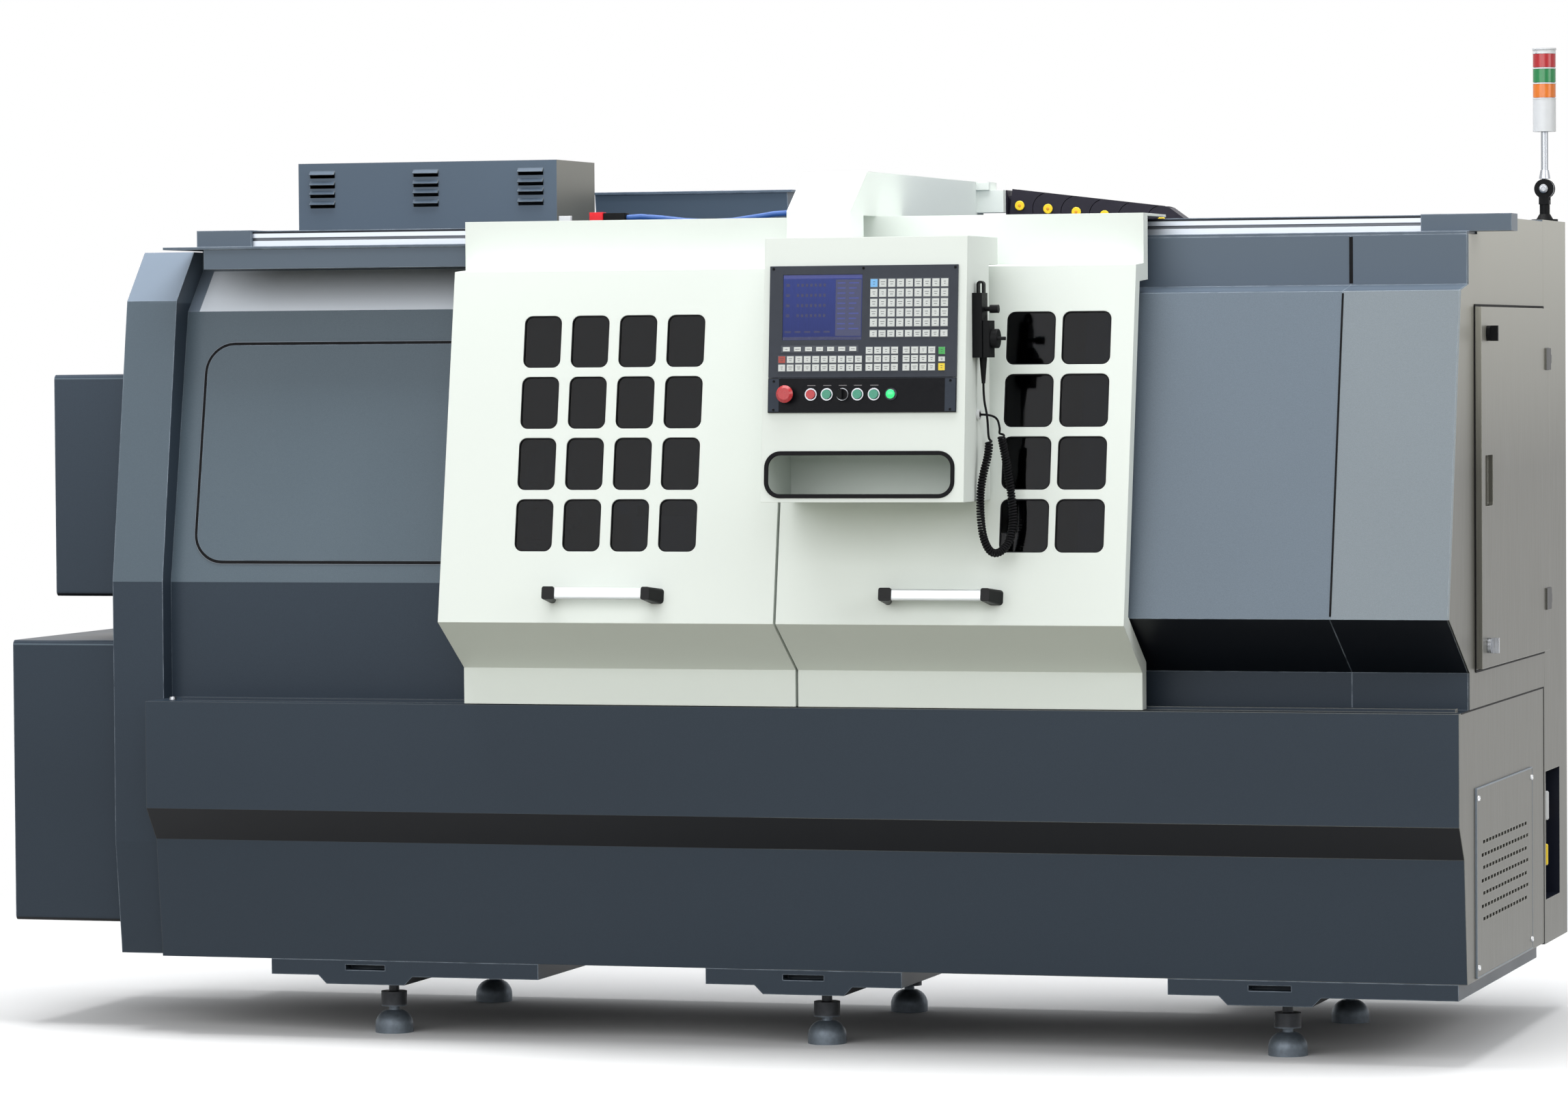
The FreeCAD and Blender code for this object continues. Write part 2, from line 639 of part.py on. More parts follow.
def door_rail():
    """A flat guide rail with a groove along its front face."""
    groove_depth = 6.0
    groove_z = (RAIL_TOP - 21.0, RAIL_TOP - 14.0)
    foot = ROOF_LOW + ROOF_LIP
    outline = [
        (RAIL_FRONT, foot), (RAIL_FRONT, groove_z[0]), (RAIL_FRONT + groove_depth, groove_z[0]),
        (RAIL_FRONT + groove_depth, groove_z[1]), (RAIL_FRONT, groove_z[1]), (RAIL_FRONT, RAIL_TOP),
        (RAIL_BACK, RAIL_TOP), (RAIL_BACK, foot),
    ]
    return prism_x(outline, (RAIL_LEFT, RAIL_RIGHT))


# ---- access door in the right end ---------------------------------------------------------------------

HINGE_Z = (ACCESS_DOOR_Z[0] + 96.0, ACCESS_DOOR_Z[1] - 142.0)
HINGE_HEIGHT = 50.0
HINGE_AXIS_Y = BASE_REAR
HINGE_AXIS_X = BASE_HALF + 10.0
KNUCKLE_RADIUS = 6.0
HINGE_PIN_RADIUS = 3.0
KNUCKLE = 15.0
HINGE_LEAF = 4.0
HINGE_LEAF_WIDTH = 61.0
LATCH_Z = (ACCESS_DOOR_Z[0] + 49.0, ACCESS_DOOR_Z[1] - 58.0)
LATCH_Y = ACCESS_DOOR_Y[0] + 70.0
LATCH_SHAFT = 8.0
PULL_Y = (ACCESS_DOOR_Y[0] + 38.0, ACCESS_DOOR_Y[0] + 137.0)
PULL_Z = (1225.0, 1337.0)
PULL_DEPTH = 12.0


def hinge_leaf(z):
    """The fixed half of a hinge: leaf, two knuckles and the pin."""
    leaf = box((BASE_HALF, BASE_HALF + HINGE_LEAF), (HINGE_AXIS_Y + 4.0, HINGE_AXIS_Y + HINGE_LEAF_WIDTH - 1.0),
               (z, z + HINGE_HEIGHT))
    shapes = [leaf]
    for start in (z, z + HINGE_HEIGHT - KNUCKLE):
        shapes.append(rod((HINGE_AXIS_X, HINGE_AXIS_Y, start), (0, 0, 1), KNUCKLE_RADIUS, KNUCKLE))
        shapes.append(box((BASE_HALF, HINGE_AXIS_X), (HINGE_AXIS_Y, HINGE_AXIS_Y + 5.0), (start, start + KNUCKLE)))
    shapes.append(rod((HINGE_AXIS_X, HINGE_AXIS_Y, z), (0, 0, 1), HINGE_PIN_RADIUS, HINGE_HEIGHT))
    return joined(shapes)


def door_hinge_half(z):
    """The moving half of a hinge: leaf on the door's face and the middle knuckle."""
    outer = BASE_HALF + ACCESS_DOOR_DEPTH
    middle = (z + KNUCKLE + RUNNING_GAP, z + HINGE_HEIGHT - KNUCKLE - RUNNING_GAP)
    knuckle = rod((HINGE_AXIS_X, HINGE_AXIS_Y, middle[0]), (0, 0, 1), KNUCKLE_RADIUS, middle[1] - middle[0])
    leaf = box(
        (outer, outer + HINGE_LEAF), (ACCESS_DOOR_Y[1] - HINGE_LEAF_WIDTH, ACCESS_DOOR_Y[1]), (z, z + HINGE_HEIGHT)
    )
    tongue = box((HINGE_AXIS_X + 3.5, outer + HINGE_LEAF), (ACCESS_DOOR_Y[1], HINGE_AXIS_Y), middle)
    bore = rod((HINGE_AXIS_X, HINGE_AXIS_Y, z), (0, 0, 1), HINGE_PIN_RADIUS + SPINDLE_FIT, HINGE_HEIGHT)
    return joined([knuckle, leaf, tongue]).cut(bore)


def access_door():
    """A pan-shaped door with a sunk pull, latch holes and its halves of the hinges."""
    inner = BASE_HALF + ACCESS_DOOR_GAP
    outer = BASE_HALF + ACCESS_DOOR_DEPTH
    skin = box((inner, outer), ACCESS_DOOR_Y, ACCESS_DOOR_Z)
    hollow = box(
        (inner, outer - SHEET), (ACCESS_DOOR_Y[0] + SHEET, ACCESS_DOOR_Y[1] - SHEET),
        (ACCESS_DOOR_Z[0] + SHEET, ACCESS_DOOR_Z[1] - SHEET),
    )
    dish_wall = 2.0
    dish = box(
        (outer - PULL_DEPTH - dish_wall, outer - SHEET), (PULL_Y[0] - dish_wall, PULL_Y[1] + dish_wall),
        (PULL_Z[0] - dish_wall, PULL_Z[1] + dish_wall),
    )
    recess = rounded(box((outer - PULL_DEPTH, outer), PULL_Y, PULL_Z), 8.0, (1, 0, 0))
    door = joined([skin.cut(hollow), dish]).cut(recess)
    for z in LATCH_Z:
        door = door.cut(rod((inner, LATCH_Y, z), (1, 0, 0), LATCH_SHAFT + RUNNING_GAP, ACCESS_DOOR_DEPTH))
    return joined([door] + [door_hinge_half(z) for z in HINGE_Z])


def latch(z, way):
    """A quarter-turn latch: boss with a grip, a shaft through the door and a tongue, here turned free."""
    outer = BASE_HALF + ACCESS_DOOR_DEPTH + RUNNING_GAP
    boss = rod((outer, LATCH_Y, z), (1, 0, 0), 17.0, 8.0)
    grip = box((outer + 8.0, outer + 24.0), (LATCH_Y - 5.0, LATCH_Y + 5.0), (z - 17.0, z + 17.0))
    tongue_x = BASE_HALF - SHEET - 6.0
    shaft = rod((tongue_x, LATCH_Y, z), (1, 0, 0), LATCH_SHAFT, outer - tongue_x)
    ends = sorted((z - way * 9.0, z + way * 50.0))
    tongue = box((tongue_x, tongue_x + 5.0), (LATCH_Y - 9.0, LATCH_Y + 9.0), ends)
    return joined([boss, grip, shaft, tongue])


# ---- sliding doors ------------------------------------------------------------------------------------

DOOR_FRONT = [
    (0.0, DOOR_FOOT_Z), (0.0, DOOR_BREAK_Z), DOOR_CHIN, DOOR_BROW, (DOOR_TOP_Y, DOOR_LEDGE_Z),
    (DOOR_TOP_Y, DOOR_TOP_Z),
]


def window_cells(first_x, width, pitch, columns):
    top = slope_height(WINDOW_TOP_Z, DOOR_CHIN, DOOR_BROW)
    for column in range(columns):
        for row in range(WINDOW_ROWS):
            x = first_x + column * pitch
            high = top - row * WINDOW_ROW_PITCH
            yield (x, x + width), (high - WINDOW_HEIGHT, high)


def rail_carriage(x):
    """A bearing block that hangs from the door's top flange and grips the rail from both sides."""
    wall = 12.0
    flange_z = DOOR_TOP_Z - DOOR_FLANGE
    span = (x, x + CARRIAGE_LENGTH)
    block = box(span, (RAIL_FRONT - wall, RAIL_BACK + wall - 2.0), (RAIL_TOP - 28.0, flange_z))
    rail_room = box(
        span, (RAIL_FRONT - RAIL_PLAY, RAIL_BACK + RAIL_PLAY), (RAIL_TOP - 28.0, RAIL_TOP + RAIL_PLAY)
    )
    return block.cut(rail_room)


def sliding_door(span, windows, carriages):
    """A folded door: one profile bent in five places, flanged ends and a top flange over the rail."""
    sheet = prism_x(band(DOOR_FRONT, DOOR_SKIN), span)
    ends = [
        prism_x(band(DOOR_FRONT, DOOR_RETURN), (span[0], span[0] + DOOR_SKIN)),
        prism_x(band(DOOR_FRONT, DOOR_RETURN), (span[1] - DOOR_SKIN, span[1])),
    ]
    flange = box(span, (DOOR_TOP_Y, DOOR_FLANGE_BACK), (DOOR_TOP_Z - DOOR_FLANGE, DOOR_TOP_Z))
    door = joined([sheet, flange] + ends + [rail_carriage(x) for x in carriages])
    cuts = []
    for x_range, height_range in window_cells(*windows):
        cut = rounded(box(x_range, (-1.0, DOOR_SKIN + 1.0), height_range), WINDOW_RADIUS, (0, 1, 0))
        cuts.append(leaning(cut, DOOR_CHIN, DOOR_BROW))
    return door.cut(Part.makeCompound(cuts))


def door_glass(windows):
    """One pane behind all the windows of a door."""
    cells = list(window_cells(*windows))
    margin = 10.0
    x_range = (cells[0][0][0] - margin, cells[-1][0][1] + margin)
    height_range = (cells[-1][1][0] - margin, cells[0][1][1] + margin)
    pane = box(x_range, (DOOR_SKIN, DOOR_SKIN + GLASS), height_range)
    return leaning(pane, DOOR_CHIN, DOOR_BROW)


LEFT_WINDOWS = (LEFT_WINDOW_X, LEFT_WINDOW_WIDTH, LEFT_WINDOW_PITCH, LEFT_WINDOW_COLUMNS)
RIGHT_WINDOWS = (RIGHT_WINDOW_X, RIGHT_WINDOW_WIDTH, RIGHT_WINDOW_PITCH, RIGHT_WINDOW_COLUMNS)


def rounded_rectangle(x_range, z_range, y, radius):
    """A wire in the plane of one Y: a rectangle with round corners."""
    outline = box(x_range, (y, y + radius), z_range)
    face = [f for f in rounded(outline, radius, (0, 1, 0)).Faces if f.BoundBox.YMax < y + radius / 2][0]
    return face.OuterWire


def door_handle(left):
    """A flat bar whose ends sit in the sockets of two brackets that widen or shift towards their feet."""
    z = slope_height(HANDLE_Z, DOOR_CHIN, DOOR_BROW)
    bar_left = left + HANDLE_LEFT_BRACKET
    bar_right = bar_left + HANDLE_GRIP
    right = bar_right + HANDLE_RIGHT_BRACKET
    front = -HANDLE_STAND - HANDLE_BAR_DEPTH
    half = HANDLE_BAR_HEIGHT / 2
    bar_span = (bar_left - HANDLE_SOCKET, bar_right + HANDLE_SOCKET)
    bar = rounded(box(bar_span, (front, -HANDLE_STAND), (z - half, z + half)), HANDLE_BAR_ROUND, (1, 0, 0))
    shapes = [bar]
    wall = HANDLE_SOCKET_WALL
    spans = (
        ((left, bar_left), (left, bar_left - HANDLE_SOCKET + 2 * wall)),
        ((bar_right, bar_right + HANDLE_SOCKET + 2 * wall), (bar_right + 2 * wall, right)),
    )
    for socket, foot in spans:
        rise = HANDLE_FOOT_HEIGHT / 2
        ends = [
            rounded_rectangle(foot, (z - rise, z + rise), 0.0, HANDLE_FOOT_ROUND),
            rounded_rectangle(socket, (z - half - wall, z + half + wall), front - wall, HANDLE_BAR_ROUND),
        ]
        shapes.append(Part.makeLoft(ends, True, True).cut(bar))
    return Part.makeCompound([leaning(shape, DOOR_CHIN, DOOR_BROW) for shape in shapes])


# ---- pendant ------------------------------------------------------------------------------------------

PENDANT_OUTLINE = [
    PENDANT_FOOT, PENDANT_HEAD, (PENDANT_HEAD_BACK, PENDANT_HEAD[1]), (PENDANT_HEAD_BACK, PENDANT_HEAD_Z),
    (PENDANT_BACK, PENDANT_HEAD_Z), (PENDANT_BACK, PENDANT_FOOT[1]),
]


def pendant_height(z):
    return slope_height(z, PENDANT_FOOT, PENDANT_HEAD)


def on_pendant(shape):
    return leaning(shape, PENDANT_FOOT, PENDANT_HEAD)


def pendant_arm():
    """A box-section arm that crosses the door's top, with its neck standing on the pendant's head."""
    outline = [
        (NECK_FRONT, PENDANT_HEAD[1]), (NECK_FRONT, NECK_TOP_Z), (ARM_FRONT, ARM_TOP), (ARM_END, ARM_TOP),
        (ARM_END, DOOR_TOP_Z), (NECK_BACK, DOOR_TOP_Z), (NECK_BACK, PENDANT_HEAD[1]),
    ]
    cavity = inset(outline, ARM_SHEET)
    cavity[0] = (cavity[0][0], PENDANT_HEAD[1])
    cavity[-1] = (cavity[-1][0], PENDANT_HEAD[1])
    arm = prism_x(outline, ARM_X).cut(prism_x(cavity, (ARM_X[0] + ARM_SHEET, ARM_X[1] - ARM_SHEET)))
    shelf_drop = 20.0
    bracket = box(
        (ARM_X[1], ARM_X[1] + 32.0), (ARM_END - 70.0, ARM_END), (ARM_TOP - shelf_drop, ARM_TOP - 1.0)
    )
    block = box(
        (ARM_X[1], CHAIN_START_X), (CHAIN_Y[0] - 22.0, ARM_END), (ARM_TOP - 73.0, ARM_TOP - shelf_drop)
    )
    return joined([arm, bracket, block])


def pendant_box():
    """A folded housing with a sloping front, an opening for the controls and a document tray below."""
    outer = prism_x(PENDANT_OUTLINE, PENDANT_X)
    inner_span = (PENDANT_X[0] + PENDANT_SHEET, PENDANT_X[1] - PENDANT_SHEET)
    shell = outer.cut(prism_x(inset(PENDANT_OUTLINE, PENDANT_SHEET), inner_span))
    opening = box(
        (PANEL_X[0] + 9.0, PANEL_X[1] - 9.0), (-PENDANT_SHEET, 2 * PENDANT_SHEET),
        (pendant_height(PANEL_BOTTOM_Z + 9.0), pendant_height(PANEL_TOP_Z - 9.0)),
    )
    tray_heights = tuple(pendant_height(z) for z in TRAY_Z)
    slot = rounded(box(TRAY_X, (-PENDANT_SHEET, 2 * PENDANT_SHEET), tray_heights), TRAY_RADIUS, (0, 1, 0))
    back = PENDANT_BACK - PENDANT_SHEET
    shelf = box(inner_span, (PENDANT_FOOT[0] + 12.0, back), (TRAY_Z[0] - 2.0, TRAY_Z[0]))
    ceiling = box(inner_span, (PENDANT_FOOT[0] + 16.0, back), (TRAY_Z[1] + 4.0, TRAY_Z[1] + 6.0))
    return joined([shell.cut(on_pendant(opening)).cut(on_pendant(slot)), shelf, ceiling])


SCREEN_X = (PANEL_X[0] + 30.0, PANEL_X[0] + 209.0)
SCREEN_Z = (PANEL_TOP_Z - 161.0, PANEL_TOP_Z - 19.0)
SCREEN_SINK = 2.0


def cnc_panel():
    """The control unit with its screen recess, the switch panel below it with bezels, and a pilot lamp."""
    low, split, high = (pendant_height(z) for z in (PANEL_BOTTOM_Z, PANEL_SPLIT_Z, PANEL_TOP_Z))
    unit = box(PANEL_X, (-PANEL_THICK, 0), (split, high))
    body = box((PANEL_X[0] + 10.0, PANEL_X[1] - 10.0), (0, UNIT_DEPTH), (split + 4.0, high - 12.0))
    screen_heights = tuple(pendant_height(z) for z in SCREEN_Z)
    screen = box(SCREEN_X, (-PANEL_THICK, -PANEL_THICK + SCREEN_SINK), screen_heights)
    unit = joined([unit, body]).cut(screen)
    plate = box(PANEL_X, (-PANEL_THICK, 0), (low, split - PANEL_GAP))
    z = pendant_height(SWITCH_Z)
    places = [ESTOP_X, RED_X, SELECTOR_X] + list(GREEN_X)
    for x in places + [PILOT_X]:
        plate = plate.fuse(rod((x, -PANEL_THICK, z), (0, -1, 0), BEZEL_RADIUS, BEZEL_HEIGHT))
    for x in places:
        hole = rod((x, -PANEL_THICK - BEZEL_HEIGHT, z), (0, 1, 0), BUTTON_RADIUS + BUTTON_PLAY, 20.0)
        plate = plate.cut(hole)
    lamp_face = -PANEL_THICK - BEZEL_HEIGHT
    lamp = rod((PILOT_X, lamp_face, z), (0, -1, 0), BUTTON_RADIUS, 4.0)
    return Part.makeCompound([on_pendant(shape) for shape in (unit, plate, lamp)])


KEY_HEIGHT = 2.0
KEY_SHEET = 0.6


def key_field(across, drops, columns, rows, fill=0.8):
    """A sheet of short keys in even columns and rows, placed from the panel's left and top edges."""
    x_range = tuple(PANEL_X[0] + reach for reach in across)
    heights = tuple(pendant_height(PANEL_TOP_Z - drop) for drop in drops)
    top = -PANEL_THICK
    shapes = [box(x_range, (top - KEY_SHEET, top), heights)]
    pitch = ((x_range[1] - x_range[0]) / columns, (heights[1] - heights[0]) / rows)
    for column in range(columns):
        for row in range(rows):
            x = x_range[0] + (column + 0.5) * pitch[0]
            height = heights[0] + (row + 0.5) * pitch[1]
            half = (pitch[0] * fill / 2, pitch[1] * fill / 2)
            key = box(
                (x - half[0], x + half[0]), (top - KEY_HEIGHT, top - KEY_SHEET),
                (height - half[1], height + half[1]),
            )
            shapes.append(key)
    return joined(shapes)


def panel_keys():
    fields = [
        key_field((226.0, 404.0), (135.0, 28.0), 9, 5),
        key_field((226.0, 404.0), (157.0, 139.0), 9, 1),
        key_field((28.0, 203.0), (188.0, 173.0), 7, 1, 0.62),
        key_field((21.0, 213.0), (230.0, 194.0), 10, 2),
        key_field((218.0, 294.0), (230.0, 175.0), 4, 3),
        key_field((301.0, 377.0), (230.0, 175.0), 4, 3),
        key_field((382.0, 398.0), (194.0, 177.0), 1, 1, 0.9),
        key_field((382.0, 398.0), (209.5, 198.0), 1, 1, 0.9),
        key_field((382.0, 398.0), (229.0, 212.0), 1, 1, 0.9),
    ]
    return on_pendant(Part.makeCompound(fields))


BUTTON_TRAVEL = 4.0
STEM_LENGTH = 20.0


def push_button(x):
    """A flat push button whose stem runs in its bezel."""
    face = -PANEL_THICK - BEZEL_HEIGHT - BUTTON_TRAVEL - 1.0
    return on_pendant(rod((x, face, pendant_height(SWITCH_Z)), (0, 1, 0), BUTTON_RADIUS, STEM_LENGTH))


def estop_button():
    """A mushroom head on a stem."""
    z = pendant_height(SWITCH_Z)
    face = -PANEL_THICK - BEZEL_HEIGHT
    head_back = face - BUTTON_TRAVEL - 3.0
    head = Part.makeCone(ESTOP_RADIUS - 3.0, ESTOP_RADIUS, 8.0, Vector(ESTOP_X, head_back, z), Vector(0, -1, 0))
    crown = Part.makeCone(ESTOP_RADIUS, ESTOP_RADIUS - 6.0, 6.0, Vector(ESTOP_X, head_back - 8.0, z),
                          Vector(0, -1, 0))
    stem = rod((ESTOP_X, head_back, z), (0, 1, 0), BUTTON_RADIUS, STEM_LENGTH)
    return on_pendant(joined([head, crown, stem]))


def mode_selector():
    """A short rotary knob with a raised grip bar."""
    z = pendant_height(SWITCH_Z)
    face = -PANEL_THICK - BEZEL_HEIGHT - RUNNING_GAP
    stem = rod((SELECTOR_X, face, z), (0, 1, 0), BUTTON_RADIUS, 14.0)
    cap = rod((SELECTOR_X, face, z), (0, -1, 0), BUTTON_RADIUS + 2.0, 6.0)
    grip = box((SELECTOR_X - 3.5, SELECTOR_X + 3.5), (face - 17.0, face - 6.0), (z - 11.0, z + 11.0))
    return on_pendant(joined([stem, cap, grip]))


# ---- handset and its curly cord -----------------------------------------------------------------------

HANDSET_FRONT_X = PENDANT_X[1] + HANDSET_X
HANDSET_MID_Y = sum(HANDSET_Y) / 2
ENCODER_FRONT_X = HANDSET_FRONT_X + ENCODER_DEPTH
HOOK_HALF = 9.0
HOOK_RADIUS = 8.0
HOOK_RISE = 18.0
HOOK_STRAP = 4.0
CORD_EXIT = (538.0, -250.0, 1504.0)
GLAND_POINT = (521.0, -243.0, 1436.6)
GLAND_LENGTH = 8.0
GLAND_RADIUS = 5.0


def handset():
    """The hand unit's case with its hook, the encoder housing behind the wheel and the strain relief."""
    side = PENDANT_X[1]
    case = rounded(box((side, HANDSET_FRONT_X), HANDSET_Y, HANDSET_Z), 3.0, (0, 0, 1))
    mid = HANDSET_MID_Y
    housing = box((HANDSET_FRONT_X, ENCODER_FRONT_X), (mid - ENCODER_HALF, mid + ENCODER_HALF), ENCODER_Z)
    housing = rounded(housing, 3.0, (0, 0, 1))
    hook_foot = (HANDSET_FRONT_X - HOOK_RADIUS, HANDSET_Z[1])
    turn_z = hook_foot[1] + HOOK_RISE
    hook = rod((hook_foot[0], mid - HOOK_HALF, turn_z), (0, 1, 0), HOOK_RADIUS, 2 * HOOK_HALF)
    hook_x = (hook_foot[0] - HOOK_RADIUS, HANDSET_FRONT_X)
    hook = joined([hook, box(hook_x, (mid - HOOK_HALF, mid + HOOK_HALF), (hook_foot[1], turn_z))])
    eye = rod((hook_foot[0], mid - HOOK_HALF, turn_z), (0, 1, 0), HOOK_RADIUS - HOOK_STRAP, 2 * HOOK_HALF)
    eye_x = (hook_x[0] + HOOK_STRAP, hook_x[1] - HOOK_STRAP)
    eye = joined([eye, box(eye_x, (mid - HOOK_HALF, mid + HOOK_HALF), (hook_foot[1], turn_z))])
    relief = Part.makeCone(4.0, 8.5, HANDSET_Z[0] - CORD_EXIT[2], Vector(*CORD_EXIT), Vector(0, 0, 1))
    bore_room = 12.0
    body = joined([case, housing, hook.cut(eye), relief])
    for front, z in ((ENCODER_FRONT_X, WHEEL_Z), (HANDSET_FRONT_X, KNOB_Z)):
        body = body.cut(rod((front - bore_room, mid, z), (1, 0, 0), AXLE_RADIUS + SLIDE_GAP * 4, bore_room))
    return body


AXLE_RADIUS = 4.0
AXLE_DEPTH = 10.0


def handset_wheel():
    """The pulse wheel with a fold-out crank pin."""
    front = ENCODER_FRONT_X + RUNNING_GAP
    wheel = rod((front, HANDSET_MID_Y, WHEEL_Z), (1, 0, 0), WHEEL_RADIUS, WHEEL_WIDTH)
    wheel = wheel.makeFillet(2.0, [e for e in wheel.Edges if e.Closed and e.Vertexes[0].X > front + 1.0])
    axle = rod((front - AXLE_DEPTH, HANDSET_MID_Y, WHEEL_Z), (1, 0, 0), AXLE_RADIUS, AXLE_DEPTH)
    crank = rod(
        (front + WHEEL_WIDTH, HANDSET_MID_Y - CRANK_OFFSET, WHEEL_Z), (1, 0, 0), CRANK_RADIUS, 18.0
    )
    return joined([wheel, axle, crank])


def handset_knob():
    front = HANDSET_FRONT_X + RUNNING_GAP
    shaft = rod((front, HANDSET_MID_Y, KNOB_Z), (1, 0, 0), 5.0, 14.0)
    grip = rod((front + 12.0, HANDSET_MID_Y, KNOB_Z), (1, 0, 0), KNOB_RADIUS, KNOB_REACH - 12.0)
    axle = rod((front - AXLE_DEPTH, HANDSET_MID_Y, KNOB_Z), (1, 0, 0), AXLE_RADIUS, AXLE_DEPTH)
    return joined([shaft, grip, axle])


# The cord's route, from the handset's strain relief down, through the curled stretch and up to the gland.
HANDSET_LEAD = [
    (538.0, -250.0, 1504.0), (538.0, -250.0, 1470.0), (546.0, -250.0, 1436.0), (548.0, -250.0, 1396.0),
]
COIL_ROUTE = [
    (548.0, -250.0, 1396.0), (550.6, -250.0, 1358.0), (534.5, -262.0, 1292.0), (531.5, -262.0, 1228.0),
    (534.0, -247.0, 1164.0), (549.0, -220.0, 1129.0), (575.0, -187.0, 1148.0), (584.0, -170.0, 1206.0),
    (576.0, -168.0, 1274.0), (567.0, -176.0, 1340.0), (561.0, -203.0, 1408.0),
]
PENDANT_LEAD = [
    (561.0, -203.0, 1408.0), (559.2, -211.0, 1428.0), (548.0, -243.0, 1436.6), (529.0, -243.0, 1436.6),
]


def arc_corner(before, corner, after):
    """The tangent arc that replaces a corner, with its radius."""
    incoming = corner - before
    outgoing = after - corner
    half_turn = incoming.getAngle(outgoing) / 2
    reach = 0.45 * min(incoming.Length, outgoing.Length)
    start = corner - incoming.normalize() * reach
    end = corner + outgoing.normalize() * reach
    radius = reach / math.tan(half_turn)
    centre_way = (before - corner).normalize() + (after - corner).normalize()
    centre = corner + centre_way.normalize() * (radius / math.cos(half_turn))
    middle = centre + (corner - centre).normalize() * radius
    return start, middle, end, radius


def cord_tube(route, radius, label):
    """A round tube along straight runs joined by tangent arcs."""
    points = [Vector(*p) for p in route]
    edges = []
    radii = []
    last = points[0]
    for before, corner, after in zip(points, points[1:], points[2:]):
        start, middle, end, bend = arc_corner(before, corner, after)
        edges.append(Part.makeLine(last, start))
        edges.append(Part.Arc(start, middle, end).toShape())
        radii.append(bend)
        last = end
    edges.append(Part.makeLine(last, points[-1]))
    wire = Part.Wire(edges)
    section = Part.Wire(Part.makeCircle(radius, points[0], points[1] - points[0]))
    tube = wire.makePipeShell([section], True, True)
    length = wire.Length
    print(label, "length", round(length, 1), "bend radii", [round(r, 1) for r in radii])
    print(label, "volume", round(tube.Volume), "section x length", round(math.pi * radius ** 2 * length))
    return tube


def cord_gland():
    x, y, z = GLAND_POINT
    nut = rod((x, y, z), (1, 0, 0), GLAND_RADIUS, GLAND_LENGTH)
    return joined([nut, rod((x, y, z), (1, 0, 0), GLAND_RADIUS + 2.0, GLAND_LENGTH / 2)])


# ---- drag chain ---------------------------------------------------------------------------------------

CHAIN_HEIGHT = 74.0
CHAIN_PITCH = 69.0
CHAIN_START_X = ARM_X[1] + 65.0
CHAIN_START_Z = ARM_TOP - 57.0
CHAIN_DROOP = 7.0
CHAIN_RUN_LINKS = 6
CHAIN_LOOP_LINKS = 3
CHAIN_BEND = math.radians(180.0 - CHAIN_DROOP) / CHAIN_LOOP_LINKS
CHAIN_PIN_RADIUS = 12.0
CHAIN_LINK_GAP = 3.0
CHAIN_PLATE = 4.0
CHAIN_NOSE_RADIUS = 24.0
CHAIN_SQUARE_TAIL = 23.0
CHAIN_BAR = 3.0
CHAIN_CAP_PROUD = 3.0


def chain_pins():
    """The centres of the chain's pins: a drooping upper run, the loop and the run back to the fixed end."""
    x, z = CHAIN_START_X + CHAIN_PITCH / 2, CHAIN_START_Z
    places = [(CHAIN_START_X + RUNNING_GAP - CHAIN_LINK_GAP / 2, CHAIN_START_Z), (x, z)]
    angle = -math.radians(CHAIN_DROOP)
    for index in range(CHAIN_RUN_LINKS - 1):
        x, z = x + CHAIN_PITCH * math.cos(angle), z + CHAIN_PITCH * math.sin(angle)
        places.append((x, z))
    for index in range(CHAIN_LOOP_LINKS):
        heading = angle - CHAIN_BEND * (index + 0.5)
        x, z = x + CHAIN_PITCH * math.cos(heading), z + CHAIN_PITCH * math.sin(heading)
        places.append((x, z))
    places.append((x - CHAIN_PITCH * 1.4, z))
    return places


def chain_plate(length, tail, nose):
    """The outer plate: its tail turns on the rear pin, its front is cut clear of the next link's tail."""
    half = CHAIN_HEIGHT / 2
    front = CHAIN_Y[0]
    plate = box((0, length), (front, front + CHAIN_PLATE), (-half, half))
    if tail == "round":
        plate = plate.fuse(rod((0, front, 0), (0, 1, 0), half, CHAIN_PLATE))
    else:
        plate = plate.fuse(box((-CHAIN_SQUARE_TAIL, 0), (front, front + CHAIN_PLATE), (-half, half)))
    if nose:
        reach = half + CHAIN_LINK_GAP / 2
        across, down = reach * math.sin(CHAIN_BEND), reach * math.cos(CHAIN_BEND)
        edge = (reach - half * math.cos(CHAIN_BEND)) / math.sin(CHAIN_BEND)
        corner = [(length - edge, -half), (length, -half), (length, -down), (length - across, -down)]
        plate = plate.cut(rod((length, front, 0), (0, 1, 0), reach, CHAIN_PLATE))
        plate = plate.cut(prism_y(corner, (front, front + CHAIN_PLATE)))
    return plate.cut(rod((0, front, 0), (0, 1, 0), CHAIN_PIN_RADIUS + RUNNING_GAP, CHAIN_PLATE))


def chain_nose(length, root, outer_root):
    """The sunk front of a link's side with its stub pin, stepped out to the plate where there is one."""
    front = CHAIN_Y[0]
    sunk = (front + CHAIN_PLATE + RUNNING_GAP, front + 2 * CHAIN_PLATE)
    rise = (-CHAIN_NOSE_RADIUS, CHAIN_NOSE_RADIUS)
    stub = front - CHAIN_CAP_PROUD
    shapes = [
        box((root, length), sunk, rise),
        rod((length, sunk[0], 0), (0, 1, 0), CHAIN_NOSE_RADIUS, sunk[1] - sunk[0]),
        rod((length, stub, 0), (0, 1, 0), CHAIN_PIN_RADIUS, sunk[1] - stub),
    ]
    if outer_root > root:
        shapes.append(box((root, outer_root), (front, sunk[1]), rise))
    return shapes


